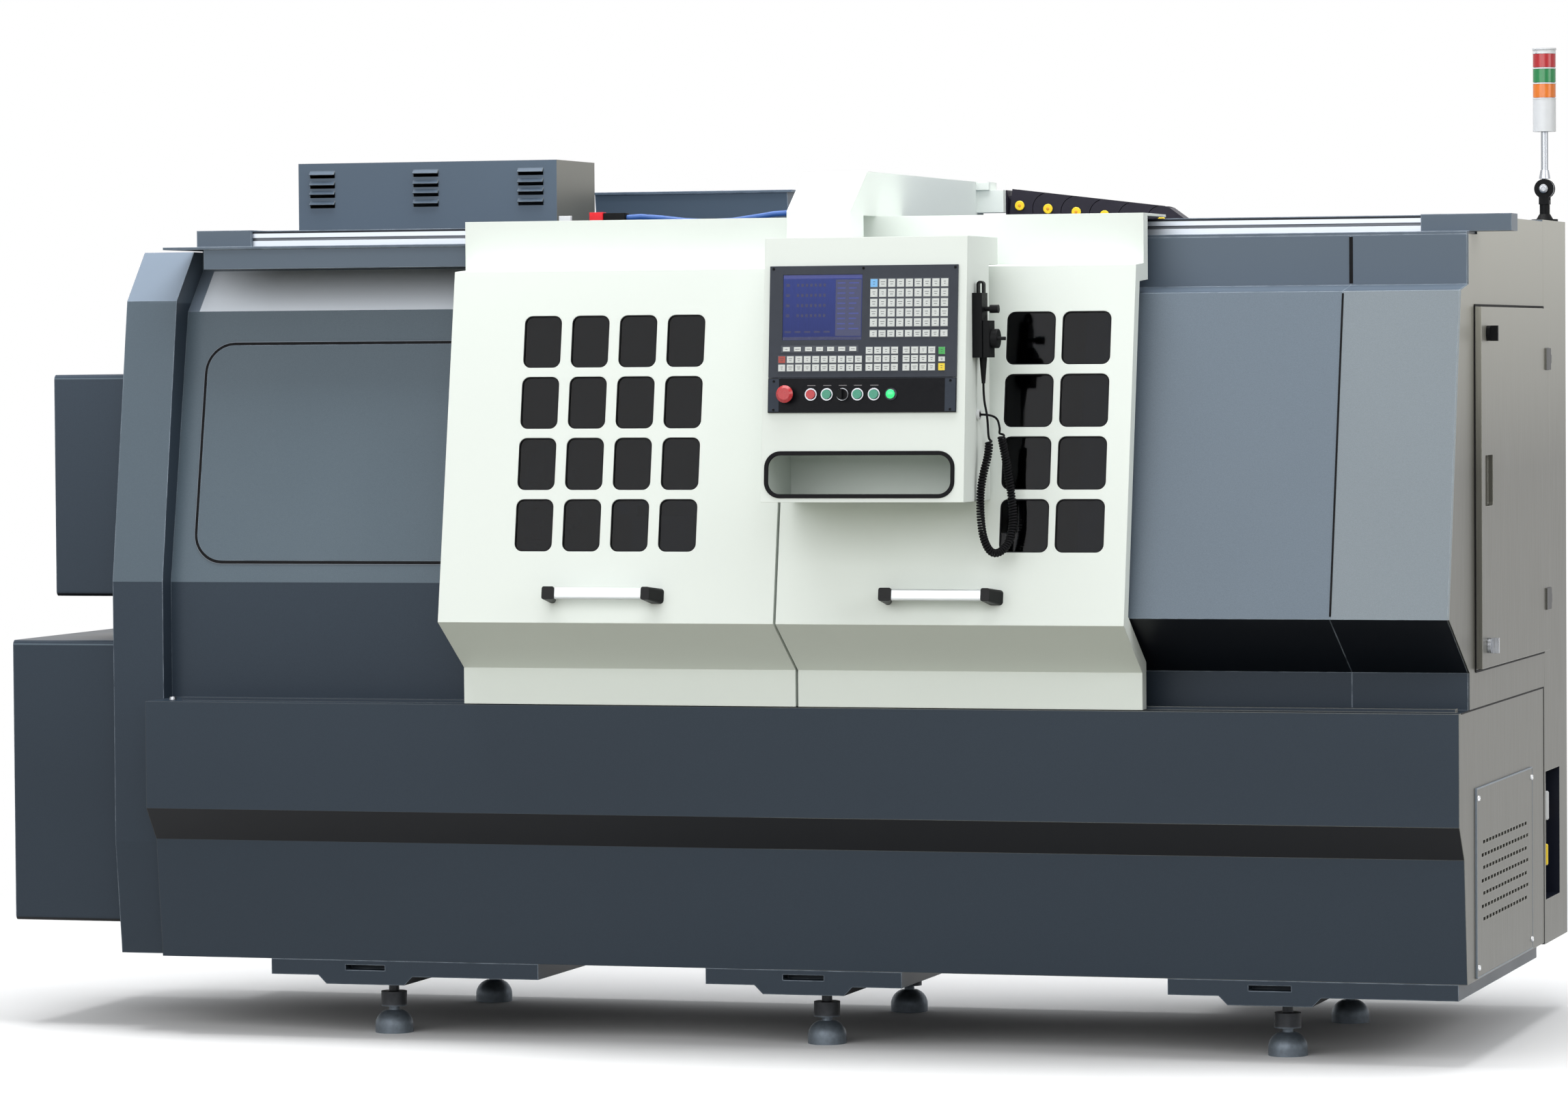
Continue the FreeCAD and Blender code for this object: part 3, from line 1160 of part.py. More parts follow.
def chain_link(start, end, tail="round", nose=True):
    """A link between two pins: two sides and the bars across them, or a plate where the chain is held."""
    length = math.hypot(end[0] - start[0], end[1] - start[1])
    half = CHAIN_HEIGHT / 2
    gap = CHAIN_LINK_GAP / 2
    side = [chain_plate(length, tail, nose)] if tail else []
    if nose and tail:
        side += chain_nose(length, CHAIN_NOSE_RADIUS + CHAIN_LINK_GAP, length - half - gap)
    elif nose:
        side += chain_nose(length, gap, gap)
    side = joined(side)
    shapes = [side, side.mirror(Vector(0, sum(CHAIN_Y) / 2, 0), Vector(0, 1, 0))]
    if tail and nose:
        shapes.append(box((-2 * CHAIN_LINK_GAP, length - half / 2), CHAIN_Y, (half - CHAIN_BAR, half)))
        shapes.append(box((3 * CHAIN_LINK_GAP, length / 2), CHAIN_Y, (-half, CHAIN_BAR - half)))
    elif tail:
        shapes.append(box((length - 2 * CHAIN_BAR, length), CHAIN_Y, (-half, half)))
    else:
        shapes.append(box((gap, gap + CHAIN_BAR), CHAIN_Y, (-half, half)))
    link = joined(shapes)
    angle = math.degrees(math.atan2(end[1] - start[1], end[0] - start[0]))
    link.Placement = FreeCAD.Placement(
        Vector(start[0], 0, start[1]), FreeCAD.Rotation(Vector(0, 1, 0), -angle)
    )
    return link


def drag_chain():
    """A cable chain: bridged links whose stub pins turn in the next link's plates, held at both ends."""
    places = chain_pins()
    links = [chain_link(places[0], places[1], None), chain_link(places[1], places[2], "square")]
    for start, end in zip(places[2:-2], places[3:-1]):
        links.append(chain_link(start, end))
    links.append(chain_link(places[-2], places[-1], "round", False))
    return Part.makeCompound(links)


# ---- signal tower -------------------------------------------------------------------------------------

CHEEK_GAP = 16.0
CHEEK = 5.0
CHEEK_RADIUS = 23.0
TOWER_SCREW_RADIUS = 4.0
TOWER_SCREW_HEAD = 11.0


def tower_foot():
    """The round flange on the cabinet with the two round cheeks of the folding joint and the clamp screw."""
    x, y = TOWER
    flange_top = CABINET_TOP + 6.0
    socket_z = TOWER_PIVOT_Z - CHEEK_RADIUS - 4.0
    shapes = [
        rod((x, y, CABINET_TOP), (0, 0, 1), 31.0, flange_top - CABINET_TOP),
        Part.makeCone(20.0, 13.0, 12.0, Vector(x, y, flange_top)),
        rod((x, y, flange_top), (0, 0, 1), 12.0, socket_z - flange_top),
    ]
    outer = CHEEK_GAP / 2 + CHEEK
    for side in (-1, 1):
        inner_y = y + side * CHEEK_GAP / 2
        span = sorted((inner_y, inner_y + side * CHEEK))
        shapes.append(box((x - 12.0, x + 12.0), span, (socket_z - 10.0, TOWER_PIVOT_Z)))
        shapes.append(rod((x, span[0], TOWER_PIVOT_Z), (0, 1, 0), CHEEK_RADIUS, CHEEK))
    base = box((x - 12.0, x + 12.0), (y - outer, y + outer), (socket_z - 10.0, socket_z))
    screw = rod((x, y - outer, TOWER_PIVOT_Z), (0, 1, 0), TOWER_SCREW_RADIUS, 2 * outer)
    heads = [
        rod((x, y - outer - 5.0, TOWER_PIVOT_Z), (0, 1, 0), TOWER_SCREW_HEAD, 5.0),
        rod((x, y + outer, TOWER_PIVOT_Z), (0, 1, 0), TOWER_SCREW_HEAD, 8.0),
    ]
    return joined(shapes + [base, screw] + heads)


def tower_pole():
    """The tube with its sleeve and the eye that turns between the cheeks."""
    x, y = TOWER
    half = CHEEK_GAP / 2 - RUNNING_GAP
    sleeve_z = TOWER_PIVOT_Z + CHEEK_RADIUS + 1.0
    eye = rod((x, y - half, TOWER_PIVOT_Z), (0, 1, 0), CHEEK_RADIUS - 1.0, 2 * half)
    neck = rod((x, y, TOWER_PIVOT_Z + 12.0), (0, 0, 1), half - 1.0, sleeve_z - TOWER_PIVOT_Z - 12.0)
    sleeve = Part.makeCone(13.5, 10.0, 20.0, Vector(x, y, sleeve_z))
    pole = rod((x, y, sleeve_z), (0, 0, 1), POLE_RADIUS, TOWER_CASE_Z - sleeve_z)
    hole = rod((x, y - half, TOWER_PIVOT_Z), (0, 1, 0), TOWER_SCREW_RADIUS + SPINDLE_FIT, 2 * half)
    return joined([eye, neck, sleeve, pole]).cut(hole)


def tower_body():
    """The tower's lower case and its top cap."""
    x, y = TOWER
    case = rod((x, y, TOWER_CASE_Z), (0, 0, 1), TOWER_RADIUS, TOWER_CASE_HEIGHT)
    brim = 4.0
    cap = rod((x, y, TOWER_CAP_Z), (0, 0, 1), TOWER_RADIUS, TOWER_CAP_HEIGHT - brim)
    top = rod((x, y, TOWER_CAP_Z + TOWER_CAP_HEIGHT - brim), (0, 0, 1), TOWER_RADIUS + 1.5, brim)
    return Part.makeCompound([case, joined([cap, top])])


def lamp_lenses():
    """Three lens modules stacked on the case, each with a narrower joint ring at its foot."""
    x, y = TOWER
    height = LENS_STACK_HEIGHT / 3
    ring = 3.0
    shapes = []
    for index in range(3):
        z = LENS_STACK_Z + index * height
        lens = rod((x, y, z + ring), (0, 0, 1), TOWER_RADIUS, height - ring)
        shapes.append(joined([rod((x, y, z), (0, 0, 1), TOWER_RADIUS - 2.0, ring), lens]))
    return Part.makeCompound(shapes)


# ---- machine inside -----------------------------------------------------------------------------------

RIB_PITCH = 300.0
RIB = 30.0


def bed():
    """A cast bed: two ways with relieved undersides, side walls and cross ribs, open between them."""
    relief = 12.0
    way_bottom = WAYS_TOP - 60.0
    shapes = []
    for y, wall in ((BED_FRONT, BED_FRONT), (BED_BACK - WAY_WIDTH, BED_BACK - BED_WALL)):
        way = [
            (y, WAYS_TOP), (y + WAY_WIDTH, WAYS_TOP), (y + WAY_WIDTH, way_bottom + relief),
            (y + WAY_WIDTH - relief, way_bottom), (y + relief, way_bottom), (y, way_bottom + relief),
        ]
        shapes.append(prism_x(way, (BED_LEFT, BED_RIGHT)))
        shapes.append(box((BED_LEFT, BED_RIGHT), (wall, wall + BED_WALL), (PAN_Z, way_bottom)))
    count = int((BED_RIGHT - BED_LEFT - RIB) // RIB_PITCH) + 1
    for index in range(count):
        x = BED_LEFT + index * RIB_PITCH
        shapes.append(box((x, x + RIB), (BED_FRONT + BED_WALL, BED_BACK - BED_WALL), (PAN_Z, way_bottom)))
    return joined(shapes)


HEADSTOCK_TOP = 1400.0


def headstock():
    """A cast housing with sloping shoulders, a front bearing ring and the spindle bore."""
    front, back = BED_FRONT - 15.0, BED_BACK + 15.0
    shoulder = 90.0
    outline = [
        (front, WAYS_TOP), (front, HEADSTOCK_TOP - shoulder), (front + shoulder, HEADSTOCK_TOP),
        (back - shoulder, HEADSTOCK_TOP), (back, HEADSTOCK_TOP - shoulder), (back, WAYS_TOP),
    ]
    body = prism_x(outline, HEADSTOCK_X)
    ring = rod((HEADSTOCK_X[1], SPINDLE_Y, SPINDLE_Z), (1, 0, 0), 120.0, 25.0)
    bore = rod(
        (HEADSTOCK_X[0], SPINDLE_Y, SPINDLE_Z), (1, 0, 0), SPINDLE_RADIUS + SPINDLE_FIT,
        HEADSTOCK_X[1] - HEADSTOCK_X[0] + 25.0,
    )
    return joined([body, ring]).cut(bore)


def around_spindle(shape, degrees):
    turned = shape.copy()
    turned.rotate(Vector(0, SPINDLE_Y, SPINDLE_Z), Vector(1, 0, 0), degrees)
    return turned


JAW_ANGLES = (0.0, 120.0, 240.0)
JAW_SLOT_DEPTH = 12.0
JAW_KEY = 26.0
JAW_RADII = (48.0, 132.0)


def chuck():
    """The three-jaw chuck with its radial guide slots, on the hollow spindle."""
    body = rod((CHUCK_X[0], SPINDLE_Y, SPINDLE_Z), (1, 0, 0), CHUCK_RADIUS, CHUCK_X[1] - CHUCK_X[0])
    body = body.makeChamfer(6.0, [e for e in body.Edges if e.Closed])
    spindle = rod(
        (HEADSTOCK_X[0] + 5.0, SPINDLE_Y, SPINDLE_Z), (1, 0, 0), SPINDLE_RADIUS,
        CHUCK_X[0] - HEADSTOCK_X[0] - 5.0,
    )
    bore = rod((HEADSTOCK_X[0], SPINDLE_Y, SPINDLE_Z), (1, 0, 0), SPINDLE_BORE, CHUCK_X[1] - HEADSTOCK_X[0])
    whole = joined([body, spindle]).cut(bore)
    half = JAW_KEY / 2 + SLIDE_GAP
    slot = box(
        (CHUCK_X[1] - JAW_SLOT_DEPTH, CHUCK_X[1]), (SPINDLE_Y - half, SPINDLE_Y + half),
        (SPINDLE_Z, SPINDLE_Z + CHUCK_RADIUS),
    )
    return whole.cut(Part.makeCompound([around_spindle(slot, a) for a in JAW_ANGLES]))


def jaw(angle):
    """A stepped jaw with the key that runs in the chuck's slot."""
    face = CHUCK_X[1] + SLIDE_GAP
    low, high = SPINDLE_Z + JAW_RADII[0], SPINDLE_Z + JAW_RADII[1]
    outline = [
        (face, low), (face + 62.0, low), (face + 62.0, low + 26.0), (face + 40.0, low + 26.0),
        (face + 40.0, low + 54.0), (face + 20.0, low + 54.0), (face + 20.0, high), (face, high),
    ]
    steps = prism_y(outline, (SPINDLE_Y - JAW_WIDTH / 2, SPINDLE_Y + JAW_WIDTH / 2))
    key = box(
        (CHUCK_X[1] - JAW_SLOT_DEPTH + SLIDE_GAP, face), (SPINDLE_Y - JAW_KEY / 2, SPINDLE_Y + JAW_KEY / 2),
        (low, high),
    )
    return around_spindle(joined([steps, key]), angle)


CARRIAGE_X = (-560.0, -160.0)
CARRIAGE_Y = (300.0, 835.0)
CARRIAGE_TOP = 1010.0
CROSS_X = (-450.0, -270.0)
CROSS_Y = (230.0, 540.0)
CROSS_TOP = 1052.0
DOVETAIL = 14.0
POST_HALF = 75.0
POST_Y = 345.0
TOOL = 25.0


def carriage():
    """The saddle: it bridges both ways, grips their outer edges and carries the cross dovetail."""
    seat = WAYS_TOP + SLIDE_GAP
    plate = box(CARRIAGE_X, CARRIAGE_Y, (seat, CARRIAGE_TOP))
    for x_range in ((CARRIAGE_X[0], CARRIAGE_X[0] + 90.0), (CARRIAGE_X[1] - 90.0, CARRIAGE_X[1])):
        plate = plate.cut(box(x_range, (BED_FRONT + WAY_WIDTH + 25.0, BED_BACK - WAY_WIDTH - 25.0),
                              (seat, CARRIAGE_TOP)))
    apron = box(
        (CARRIAGE_X[0] + 30.0, CARRIAGE_X[1] - 30.0), (CARRIAGE_Y[0], BED_FRONT - 20.0), (820.0, seat)
    )
    rear_keep = box(CARRIAGE_X, (BED_BACK + RUNNING_GAP, CARRIAGE_Y[1]), (WAYS_TOP - 40.0, seat))
    middle = sum(CROSS_X) / 2
    foot, top = 55.0, 55.0 + DOVETAIL
    dovetail = prism_y(
        [(middle - foot, CARRIAGE_TOP), (middle - top, CARRIAGE_TOP + DOVETAIL),
         (middle + top, CARRIAGE_TOP + DOVETAIL), (middle + foot, CARRIAGE_TOP)],
        CARRIAGE_Y,
    )
    return joined([plate, apron, rear_keep, dovetail])


def cross_slide():
    """A plate with the dovetail groove that rides on the saddle."""
    seat = CARRIAGE_TOP + SLIDE_GAP
    plate = box(CROSS_X, CROSS_Y, (seat, CROSS_TOP))
    middle = sum(CROSS_X) / 2
    foot, top = 55.0 + 2 * SLIDE_GAP, 55.0 + DOVETAIL + 2 * SLIDE_GAP
    depth = DOVETAIL + 2 * SLIDE_GAP
    groove = prism_y(
        [(middle - foot, CARRIAGE_TOP), (middle - top, CARRIAGE_TOP + depth),
         (middle + top, CARRIAGE_TOP + depth), (middle + foot, CARRIAGE_TOP)],
        CROSS_Y,
    )
    stud = rod((middle, POST_Y, CROSS_TOP), (0, 0, 1), 14.0, 60.0)
    return joined([plate.cut(groove), stud])


def tool_post():
    """A four-way post with a tool clamped in each face."""
    middle = sum(CROSS_X) / 2
    seat = CROSS_TOP + SLIDE_GAP
    top = SPINDLE_Z + 30.0
    sides = (POST_Y - POST_HALF, POST_Y + POST_HALF)
    block = box((middle - POST_HALF, middle + POST_HALF), sides, (seat, top))
    tool_low = SPINDLE_Z - TOOL
    pocket = box(
        (middle - POST_HALF, middle + POST_HALF), (POST_Y + POST_HALF - TOOL, POST_Y + POST_HALF),
        (tool_low, SPINDLE_Z + 2.0),
    )
    shank = box(
        (middle + POST_HALF - TOOL - 12.0, middle + POST_HALF - 12.0),
        (POST_Y + POST_HALF - TOOL, POST_Y + POST_HALF + 70.0), (tool_low, SPINDLE_Z),
    )
    cuts = []
    tools = []
    for index in range(4):
        for source, target in ((pocket, cuts), (shank, tools)):
            turned = source.copy()
            turned.rotate(Vector(middle, POST_Y, 0), Vector(0, 0, 1), 90.0 * index)
            target.append(turned)
    body = block.cut(Part.makeCompound(cuts))
    body = body.cut(rod((middle, POST_Y, seat), (0, 0, 1), 14.0 + SPINDLE_FIT, 62.0))
    return joined([body] + tools)


TAILSTOCK_X = (BED_RIGHT - 640.0, BED_RIGHT - 320.0)


def tailstock():
    """A cast tailstock with a foot on the ways, a waisted body and the quill's barrel."""
    seat = WAYS_TOP + SLIDE_GAP
    foot = box(TAILSTOCK_X, (BED_FRONT + 15.0, BED_BACK - 15.0), (seat, seat + 50.0))
    neck = [
        (BED_FRONT + 60.0, seat + 50.0), (SPINDLE_Y - 62.0, SPINDLE_Z), (SPINDLE_Y + 62.0, SPINDLE_Z),
        (BED_BACK - 60.0, seat + 50.0),
    ]
    body = prism_x(neck, (TAILSTOCK_X[0] + 30.0, TAILSTOCK_X[1] - 30.0))
    barrel = rod((TAILSTOCK_X[0], SPINDLE_Y, SPINDLE_Z), (1, 0, 0), 72.0, TAILSTOCK_X[1] - TAILSTOCK_X[0])
    bore = rod((TAILSTOCK_X[0], SPINDLE_Y, SPINDLE_Z), (1, 0, 0), QUILL_RADIUS + QUILL_FIT,
               TAILSTOCK_X[1] - TAILSTOCK_X[0] - 20.0)
    return joined([foot, body, barrel]).cut(bore)


def quill():
    """The quill with its centre point."""
    reach = 50.0
    tip = 30.0
    start = TAILSTOCK_X[0] - reach
    barrel = rod((start, SPINDLE_Y, SPINDLE_Z), (1, 0, 0), QUILL_RADIUS, 320.0)
    nose = Part.makeCone(0.5, 17.0, tip, Vector(start - tip, SPINDLE_Y, SPINDLE_Z), Vector(1, 0, 0))
    return joined([barrel, nose])


# ---- export -------------------------------------------------------------------------------------------

def build_nodes():
    nodes = {
        "base_skirt": base_skirt(),
        "foot_beams": foot_beams(),
        "levelling_feet": levelling_feet(),
        "base_vent_cover": base_vent_cover(),
        "bed": bed(),
        "headstock": headstock(),
        "left_end_housing": left_end_housing(),
        "headstock_cover": headstock_cover(),
        "right_cover_inner": right_cover_inner(),
        "right_cover_outer": right_cover_outer(),
        "right_end_wall": right_end_wall(),
        "enclosure_shell": enclosure_shell(),
        "rear_cabinet": rear_cabinet(),
        "air_unit": air_unit(),
        "spindle_end_cover": end_box(SPINDLE_COVER_REACH, SPINDLE_COVER_Y, SPINDLE_COVER_Z),
        "motor_cover": end_box(MOTOR_COVER_REACH, MOTOR_COVER_Y, MOTOR_COVER_Z),
        "roof_vent_box": roof_vent_box(),
        "roof_duct": roof_duct(),
        "door_rail": door_rail(),
        "tower_foot": tower_foot(),
        "access_door": access_door(),
        "tower_pole": tower_pole(),
        "tower_body": tower_body(),
        "lamp_lenses": lamp_lenses(),
        "left_door": sliding_door(LEFT_DOOR, LEFT_WINDOWS, (LEFT_DOOR[0] + 150.0, LEFT_DOOR[0] + 620.0)),
        "left_door_glass": door_glass(LEFT_WINDOWS),
        "left_handle": door_handle(LEFT_HANDLE_X),
        "right_door": sliding_door(RIGHT_DOOR, RIGHT_WINDOWS, (RIGHT_DOOR[0] + 50.0, RIGHT_DOOR[0] + 500.0)),
        "right_door_glass": door_glass(RIGHT_WINDOWS),
        "right_handle": door_handle(RIGHT_HANDLE_X),
        "pendant_arm": pendant_arm(),
        "pendant_box": pendant_box(),
        "cnc_panel": cnc_panel(),
        "panel_keys": panel_keys(),
        "estop_button": estop_button(),
        "red_button": push_button(RED_X),
        "mode_selector": mode_selector(),
        "handset": handset(),
        "handset_wheel": handset_wheel(),
        "handset_knob": handset_knob(),
        "cord_lead_handset": cord_tube(HANDSET_LEAD, CORD_RADIUS, "handset lead"),
        "cord_coil": cord_tube(COIL_ROUTE, COIL_RADIUS, "coil"),
        "cord_lead_pendant": cord_tube(PENDANT_LEAD, CORD_RADIUS, "pendant lead"),
        "cord_gland": cord_gland(),
        "drag_chain": drag_chain(),
        "chuck": chuck(),
        "carriage": carriage(),
        "cross_slide": cross_slide(),
        "tool_post": tool_post(),
        "tailstock": tailstock(),
        "quill": quill(),
    }
    nodes["latch_lower"] = latch(LATCH_Z[0], 1)
    nodes["latch_upper"] = latch(LATCH_Z[1], -1)
    for index, x in enumerate(GREEN_X, start=1):
        nodes[f"green_button_{index}"] = push_button(x)
    for index, angle in enumerate(JAW_ANGLES, start=1):
        nodes[f"chuck_jaw_{index}"] = jaw(angle)
    return nodes


def export(nodes):
    whole = Part.makeCompound(list(nodes.values())).BoundBox
    shift = Vector(-(whole.XMin + whole.XMax) / 2, -(whole.YMin + whole.YMax) / 2, -whole.ZMin)
    os.makedirs("parts", exist_ok=True)
    for name, shape in nodes.items():
        shape.translate(shift)
        shape.exportStep(f"parts/{name}.step")
    print("nodes", len(nodes), "shift", [round(value, 3) for value in shift])


export(build_nodes())
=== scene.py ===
from math import atan2, cos, pi, radians, sin

import bmesh
import bpy
from mathutils import Matrix, Vector

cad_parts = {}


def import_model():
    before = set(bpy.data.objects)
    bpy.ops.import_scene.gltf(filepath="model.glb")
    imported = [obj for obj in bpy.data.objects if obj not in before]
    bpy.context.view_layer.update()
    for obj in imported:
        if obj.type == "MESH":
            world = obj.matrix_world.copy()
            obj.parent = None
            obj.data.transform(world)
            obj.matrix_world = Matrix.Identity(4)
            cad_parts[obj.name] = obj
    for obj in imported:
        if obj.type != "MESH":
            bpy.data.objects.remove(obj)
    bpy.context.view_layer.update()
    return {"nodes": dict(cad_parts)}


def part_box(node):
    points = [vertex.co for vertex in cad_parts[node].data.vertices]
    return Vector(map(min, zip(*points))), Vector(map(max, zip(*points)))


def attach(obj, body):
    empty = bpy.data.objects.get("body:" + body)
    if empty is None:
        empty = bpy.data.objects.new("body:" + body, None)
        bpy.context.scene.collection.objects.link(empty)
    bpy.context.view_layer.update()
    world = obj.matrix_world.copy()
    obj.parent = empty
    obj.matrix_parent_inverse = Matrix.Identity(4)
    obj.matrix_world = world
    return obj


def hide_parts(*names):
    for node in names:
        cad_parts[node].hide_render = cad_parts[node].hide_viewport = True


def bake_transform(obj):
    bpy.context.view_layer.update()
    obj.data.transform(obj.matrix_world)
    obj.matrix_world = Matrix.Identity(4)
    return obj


# Looks for the CNC turning lathe. Sizes and places are written in the machine's own millimetres: X from the
# middle of the base to the right, Y from the base's front edge to the rear, Z from the floor. at() turns them
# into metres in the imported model's frame.

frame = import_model()

BASE_LOW, BASE_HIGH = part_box("base_skirt")
MIDDLE_X = (BASE_LOW.x + BASE_HIGH.x) / 2
FRONT_Y = BASE_LOW.y
MM = 0.001
RIGHT_DOOR = "front_door_right"


def at(x, y, z):
    return Vector((MIDDLE_X + x * MM, FRONT_Y + y * MM, z * MM))


def rgb(red, green, blue):
    """A colour written in the usual 0 to 255 steps, as the linear values that shaders take."""
    def linear(value):
        value = value / 255
        return value / 12.92 if value <= 0.04045 else ((value + 0.055) / 1.055) ** 2.4
    return (linear(red), linear(green), linear(blue), 1.0)


def scaled(colour, factor):
    return tuple(min(1.0, c * factor) for c in colour[:3]) + (1.0,)


def linked(name, data):
    """A new object that shows the data."""
    made = bpy.data.objects.new(name, data)
    bpy.context.scene.collection.objects.link(made)
    return made


# ---- materials ----

# The range that most of a noise texture's values lie in.
NOISE_LOW, NOISE_HIGH = 0.3, 0.7
# A corner for Shader.inside() that leaves every side open.
OPEN = (None, None, None)


class Tree:
    """A node tree, emptied, with short names for adding nodes."""

    def __init__(self, owner, output):
        owner.use_nodes = True
        self.nodes, self.links = owner.node_tree.nodes, owner.node_tree.links
        self.nodes.clear()
        self.output = self.nodes.new(output)
        self.coordinates = self.nodes.new("ShaderNodeTexCoord")

    def node(self, kind, inputs=None, **settings):
        made = self.nodes.new("ShaderNode" + kind)
        for key, value in settings.items():
            setattr(made, key, value)
        for key, value in (inputs or {}).items():
            if isinstance(value, bpy.types.NodeSocket):
                self.links.new(value, made.inputs[key])
            else:
                made.inputs[key].default_value = value
        return made

    def show(self, socket):
        self.links.new(socket, self.output.inputs[0])

    def spread(self, value, low, high, to_low=0.0, to_high=1.0):
        return self.node("MapRange", {0: value, 1: low, 2: high, 3: to_low, 4: to_high}).outputs[0]

    def math(self, operation, first, second=0.0):
        return self.node("Math", {0: first, 1: second}, operation=operation).outputs[0]

    def vector(self, operation, first, second=(0.0, 0.0, 0.0)):
        return self.node("VectorMath", {0: first, 1: second}, operation=operation).outputs

    def split(self, socket):
        """The x, y and z of a vector socket."""
        return self.node("SeparateXYZ", {0: socket}).outputs

    def shown(self):
        """1 for rays from the camera and for those seen in metal and glass, 0 for light that falls on things."""
        path = self.node("LightPath").outputs
        seen = self.math("MAXIMUM", path["Is Camera Ray"], path["Is Glossy Ray"])
        return self.math("MAXIMUM", seen, path["Is Transmission Ray"])


class Shader(Tree):
    """A node material with a Principled shader."""

    def __init__(self, name, **values):
        self.material = bpy.data.materials.new(name)
        super().__init__(self.material, "ShaderNodeOutputMaterial")
        self.main = self.nodes.new("ShaderNodeBsdfPrincipled")
        self.show(self.main.outputs[0])
        for key, value in values.items():
            self.main.inputs[key.replace("_", " ")].default_value = value

    def place(self):
        return self.coordinates.outputs["Object"]

    def height(self):
        return self.split(self.place())[2]

    def along(self, low, high, to_low=0.0, to_high=1.0):
        """A ramp across the machine from low to high, in millimetres from its middle."""
        across = self.split(self.place())[0]
        return self.spread(across, at(low, 0, 0).x, at(high, 0, 0).x, to_low, to_high)

    def noise(self, scale, detail=2.0, roughness=0.5, stretch=None):
        place = self.place()
        if stretch:
            place = self.node("Mapping", {0: place, "Scale": stretch}).outputs[0]
        inputs = {"Vector": place, "Scale": scale, "Detail": detail, "Roughness": roughness}
        return self.node("TexNoise", inputs).outputs[0]

    def swing(self, value, low, high):
        """A noise value's usual range spread over low to high."""
        return self.spread(value, NOISE_LOW, NOISE_HIGH, low, high)

    def vary(self, low, high, *noise):
        """Noise between low and high."""
        return self.swing(self.noise(*noise), low, high)

    def times(self, first, *others):
        for other in others:
            first = self.math("MULTIPLY", first, other)
        return first

    def band(self, value, low, full, fade, high):
        """Rises from 0 at low to 1 at full, and falls back to 0 between fade and high."""
        return self.times(self.spread(value, low, full), self.spread(value, fade, high, 1.0, 0.0))

    def mix(self, factor, first, second):
        return self.node("Mix", {0: factor, 6: first, 7: second}, data_type="RGBA").outputs[2]

    def multiply(self, colour, *values):
        """Multiplies a colour by grey values."""
        inputs = {0: 1.0, 6: colour, 7: self.times(*values)}
        return self.node("Mix", inputs, data_type="RGBA", blend_type="MULTIPLY").outputs[2]

    def normal(self):
        return self.split(self.coordinates.outputs["Normal"])

    def inside(self, low, high, soft=0.3):
        """1 inside the box between two places in millimetres, 0 outside it; None leaves a side open."""
        result = None
        place = self.split(self.place())
        for axis in range(3):
            for corner, first, second in ((low, 0.0, 1.0), (high, 1.0, 0.0)):
                if corner[axis] is None:
                    continue
                edge = at(*(value or 0.0 for value in corner))[axis]
                step = self.spread(place[axis], edge - soft * MM, edge + soft * MM, first, second)
                result = self.times(result, step) if result else step
        return result

    def put(self, name, socket):
        self.links.new(socket, self.main.inputs[name])

    def coat(self, colour, rough=None, *bump):
        """Links the colour, the roughness and the bump, and hands back the material."""
        self.put("Base Color", colour)
        if rough:
            self.put("Roughness", rough)
        if bump:
            self.bump(*bump)
        return self.material

    def bump(self, height, strength, distance=0.001, edge=None):
        made = self.node("Bump", {"Strength": strength, "Distance": distance, "Height": height})
        if edge:
            soft = self.node("Bevel", {"Radius": edge}, samples=4)
            self.links.new(soft.outputs[0], made.inputs["Normal"])
        self.put("Normal", made.outputs[0])

    def edges(self, radius=0.003, low=0.02, high=0.25):
        """A mask that is 1 along outer and inner edges and 0 on flat faces."""
        soft = self.node("Bevel", {"Radius": radius}, samples=4)
        flat = self.node("NewGeometry").outputs["True Normal"]
        dot = self.vector("DOT_PRODUCT", soft.outputs[0], flat)["Value"]
        return self.spread(self.math("SUBTRACT", 1.0, dot), low, high)


def plastic(name, base, roughness=0.4, grain=0.05, bump=0.15, specular=0.4, light=None):
    look = Shader(name, Specular_IOR_Level=specular)
    colour = look.multiply(base, look.vary(1 - grain, 1 + grain, 60.0, 4.0))
    # painted highlight: edges are lightened towards the light colour
    edge = look.edges(0.0008, 0.05, 0.5)
    return look.coat(
        look.mix(look.times(edge, 0.5), colour, light or scaled(base, 1.5)),
        look.vary(roughness - 0.06, roughness + 0.08, 180.0, 3.0),
        look.noise(1800.0, 1.0), bump, 0.0002, 0.0008,
    )


def metal(name, base, roughness=0.3, grain=0.06, stretch=(1, 1, 1), bump=0.08, scale=300.0):
    """Bare or plated metal; stretch turns its fine noise into machining or brushing marks."""
    look = Shader(name, Metallic=1.0)
    marks = look.noise(scale, 3.0, 0.6, stretch)
    tone = look.swing(marks, 1 - grain, 1 + grain)
    cloud = look.vary(1 - grain, 1 + grain, 9.0, 4.0)
    return look.coat(
        look.multiply(base, tone, cloud),
        look.swing(marks, roughness - 0.06, roughness + 0.1),
        marks, bump, 0.0003, 0.0008,
    )


# Heights and places, in millimetres, where the slate coat's tone and its painted light and shade change.
BAND_LOW_Z, ROOF_EDGE_Z = 1700.0, 1868.0
END_X = 1530.0
SLATE = rgb(46, 56, 67)
SLATE_EDGE = rgb(168, 180, 194)
COVER_SEAM_X = 1270.0
COVER_LEFT_X = -1500.0
CREAM = rgb(222, 228, 223)
# The left ends of the two handles' bars, and how long a bar is.
HANDLE_BARS, HANDLE_GRIP = (-461.0, 316.0), 202.0
HINGE_LOW_Z = 965.0
HINGE_HIGH_Z = 1521.0


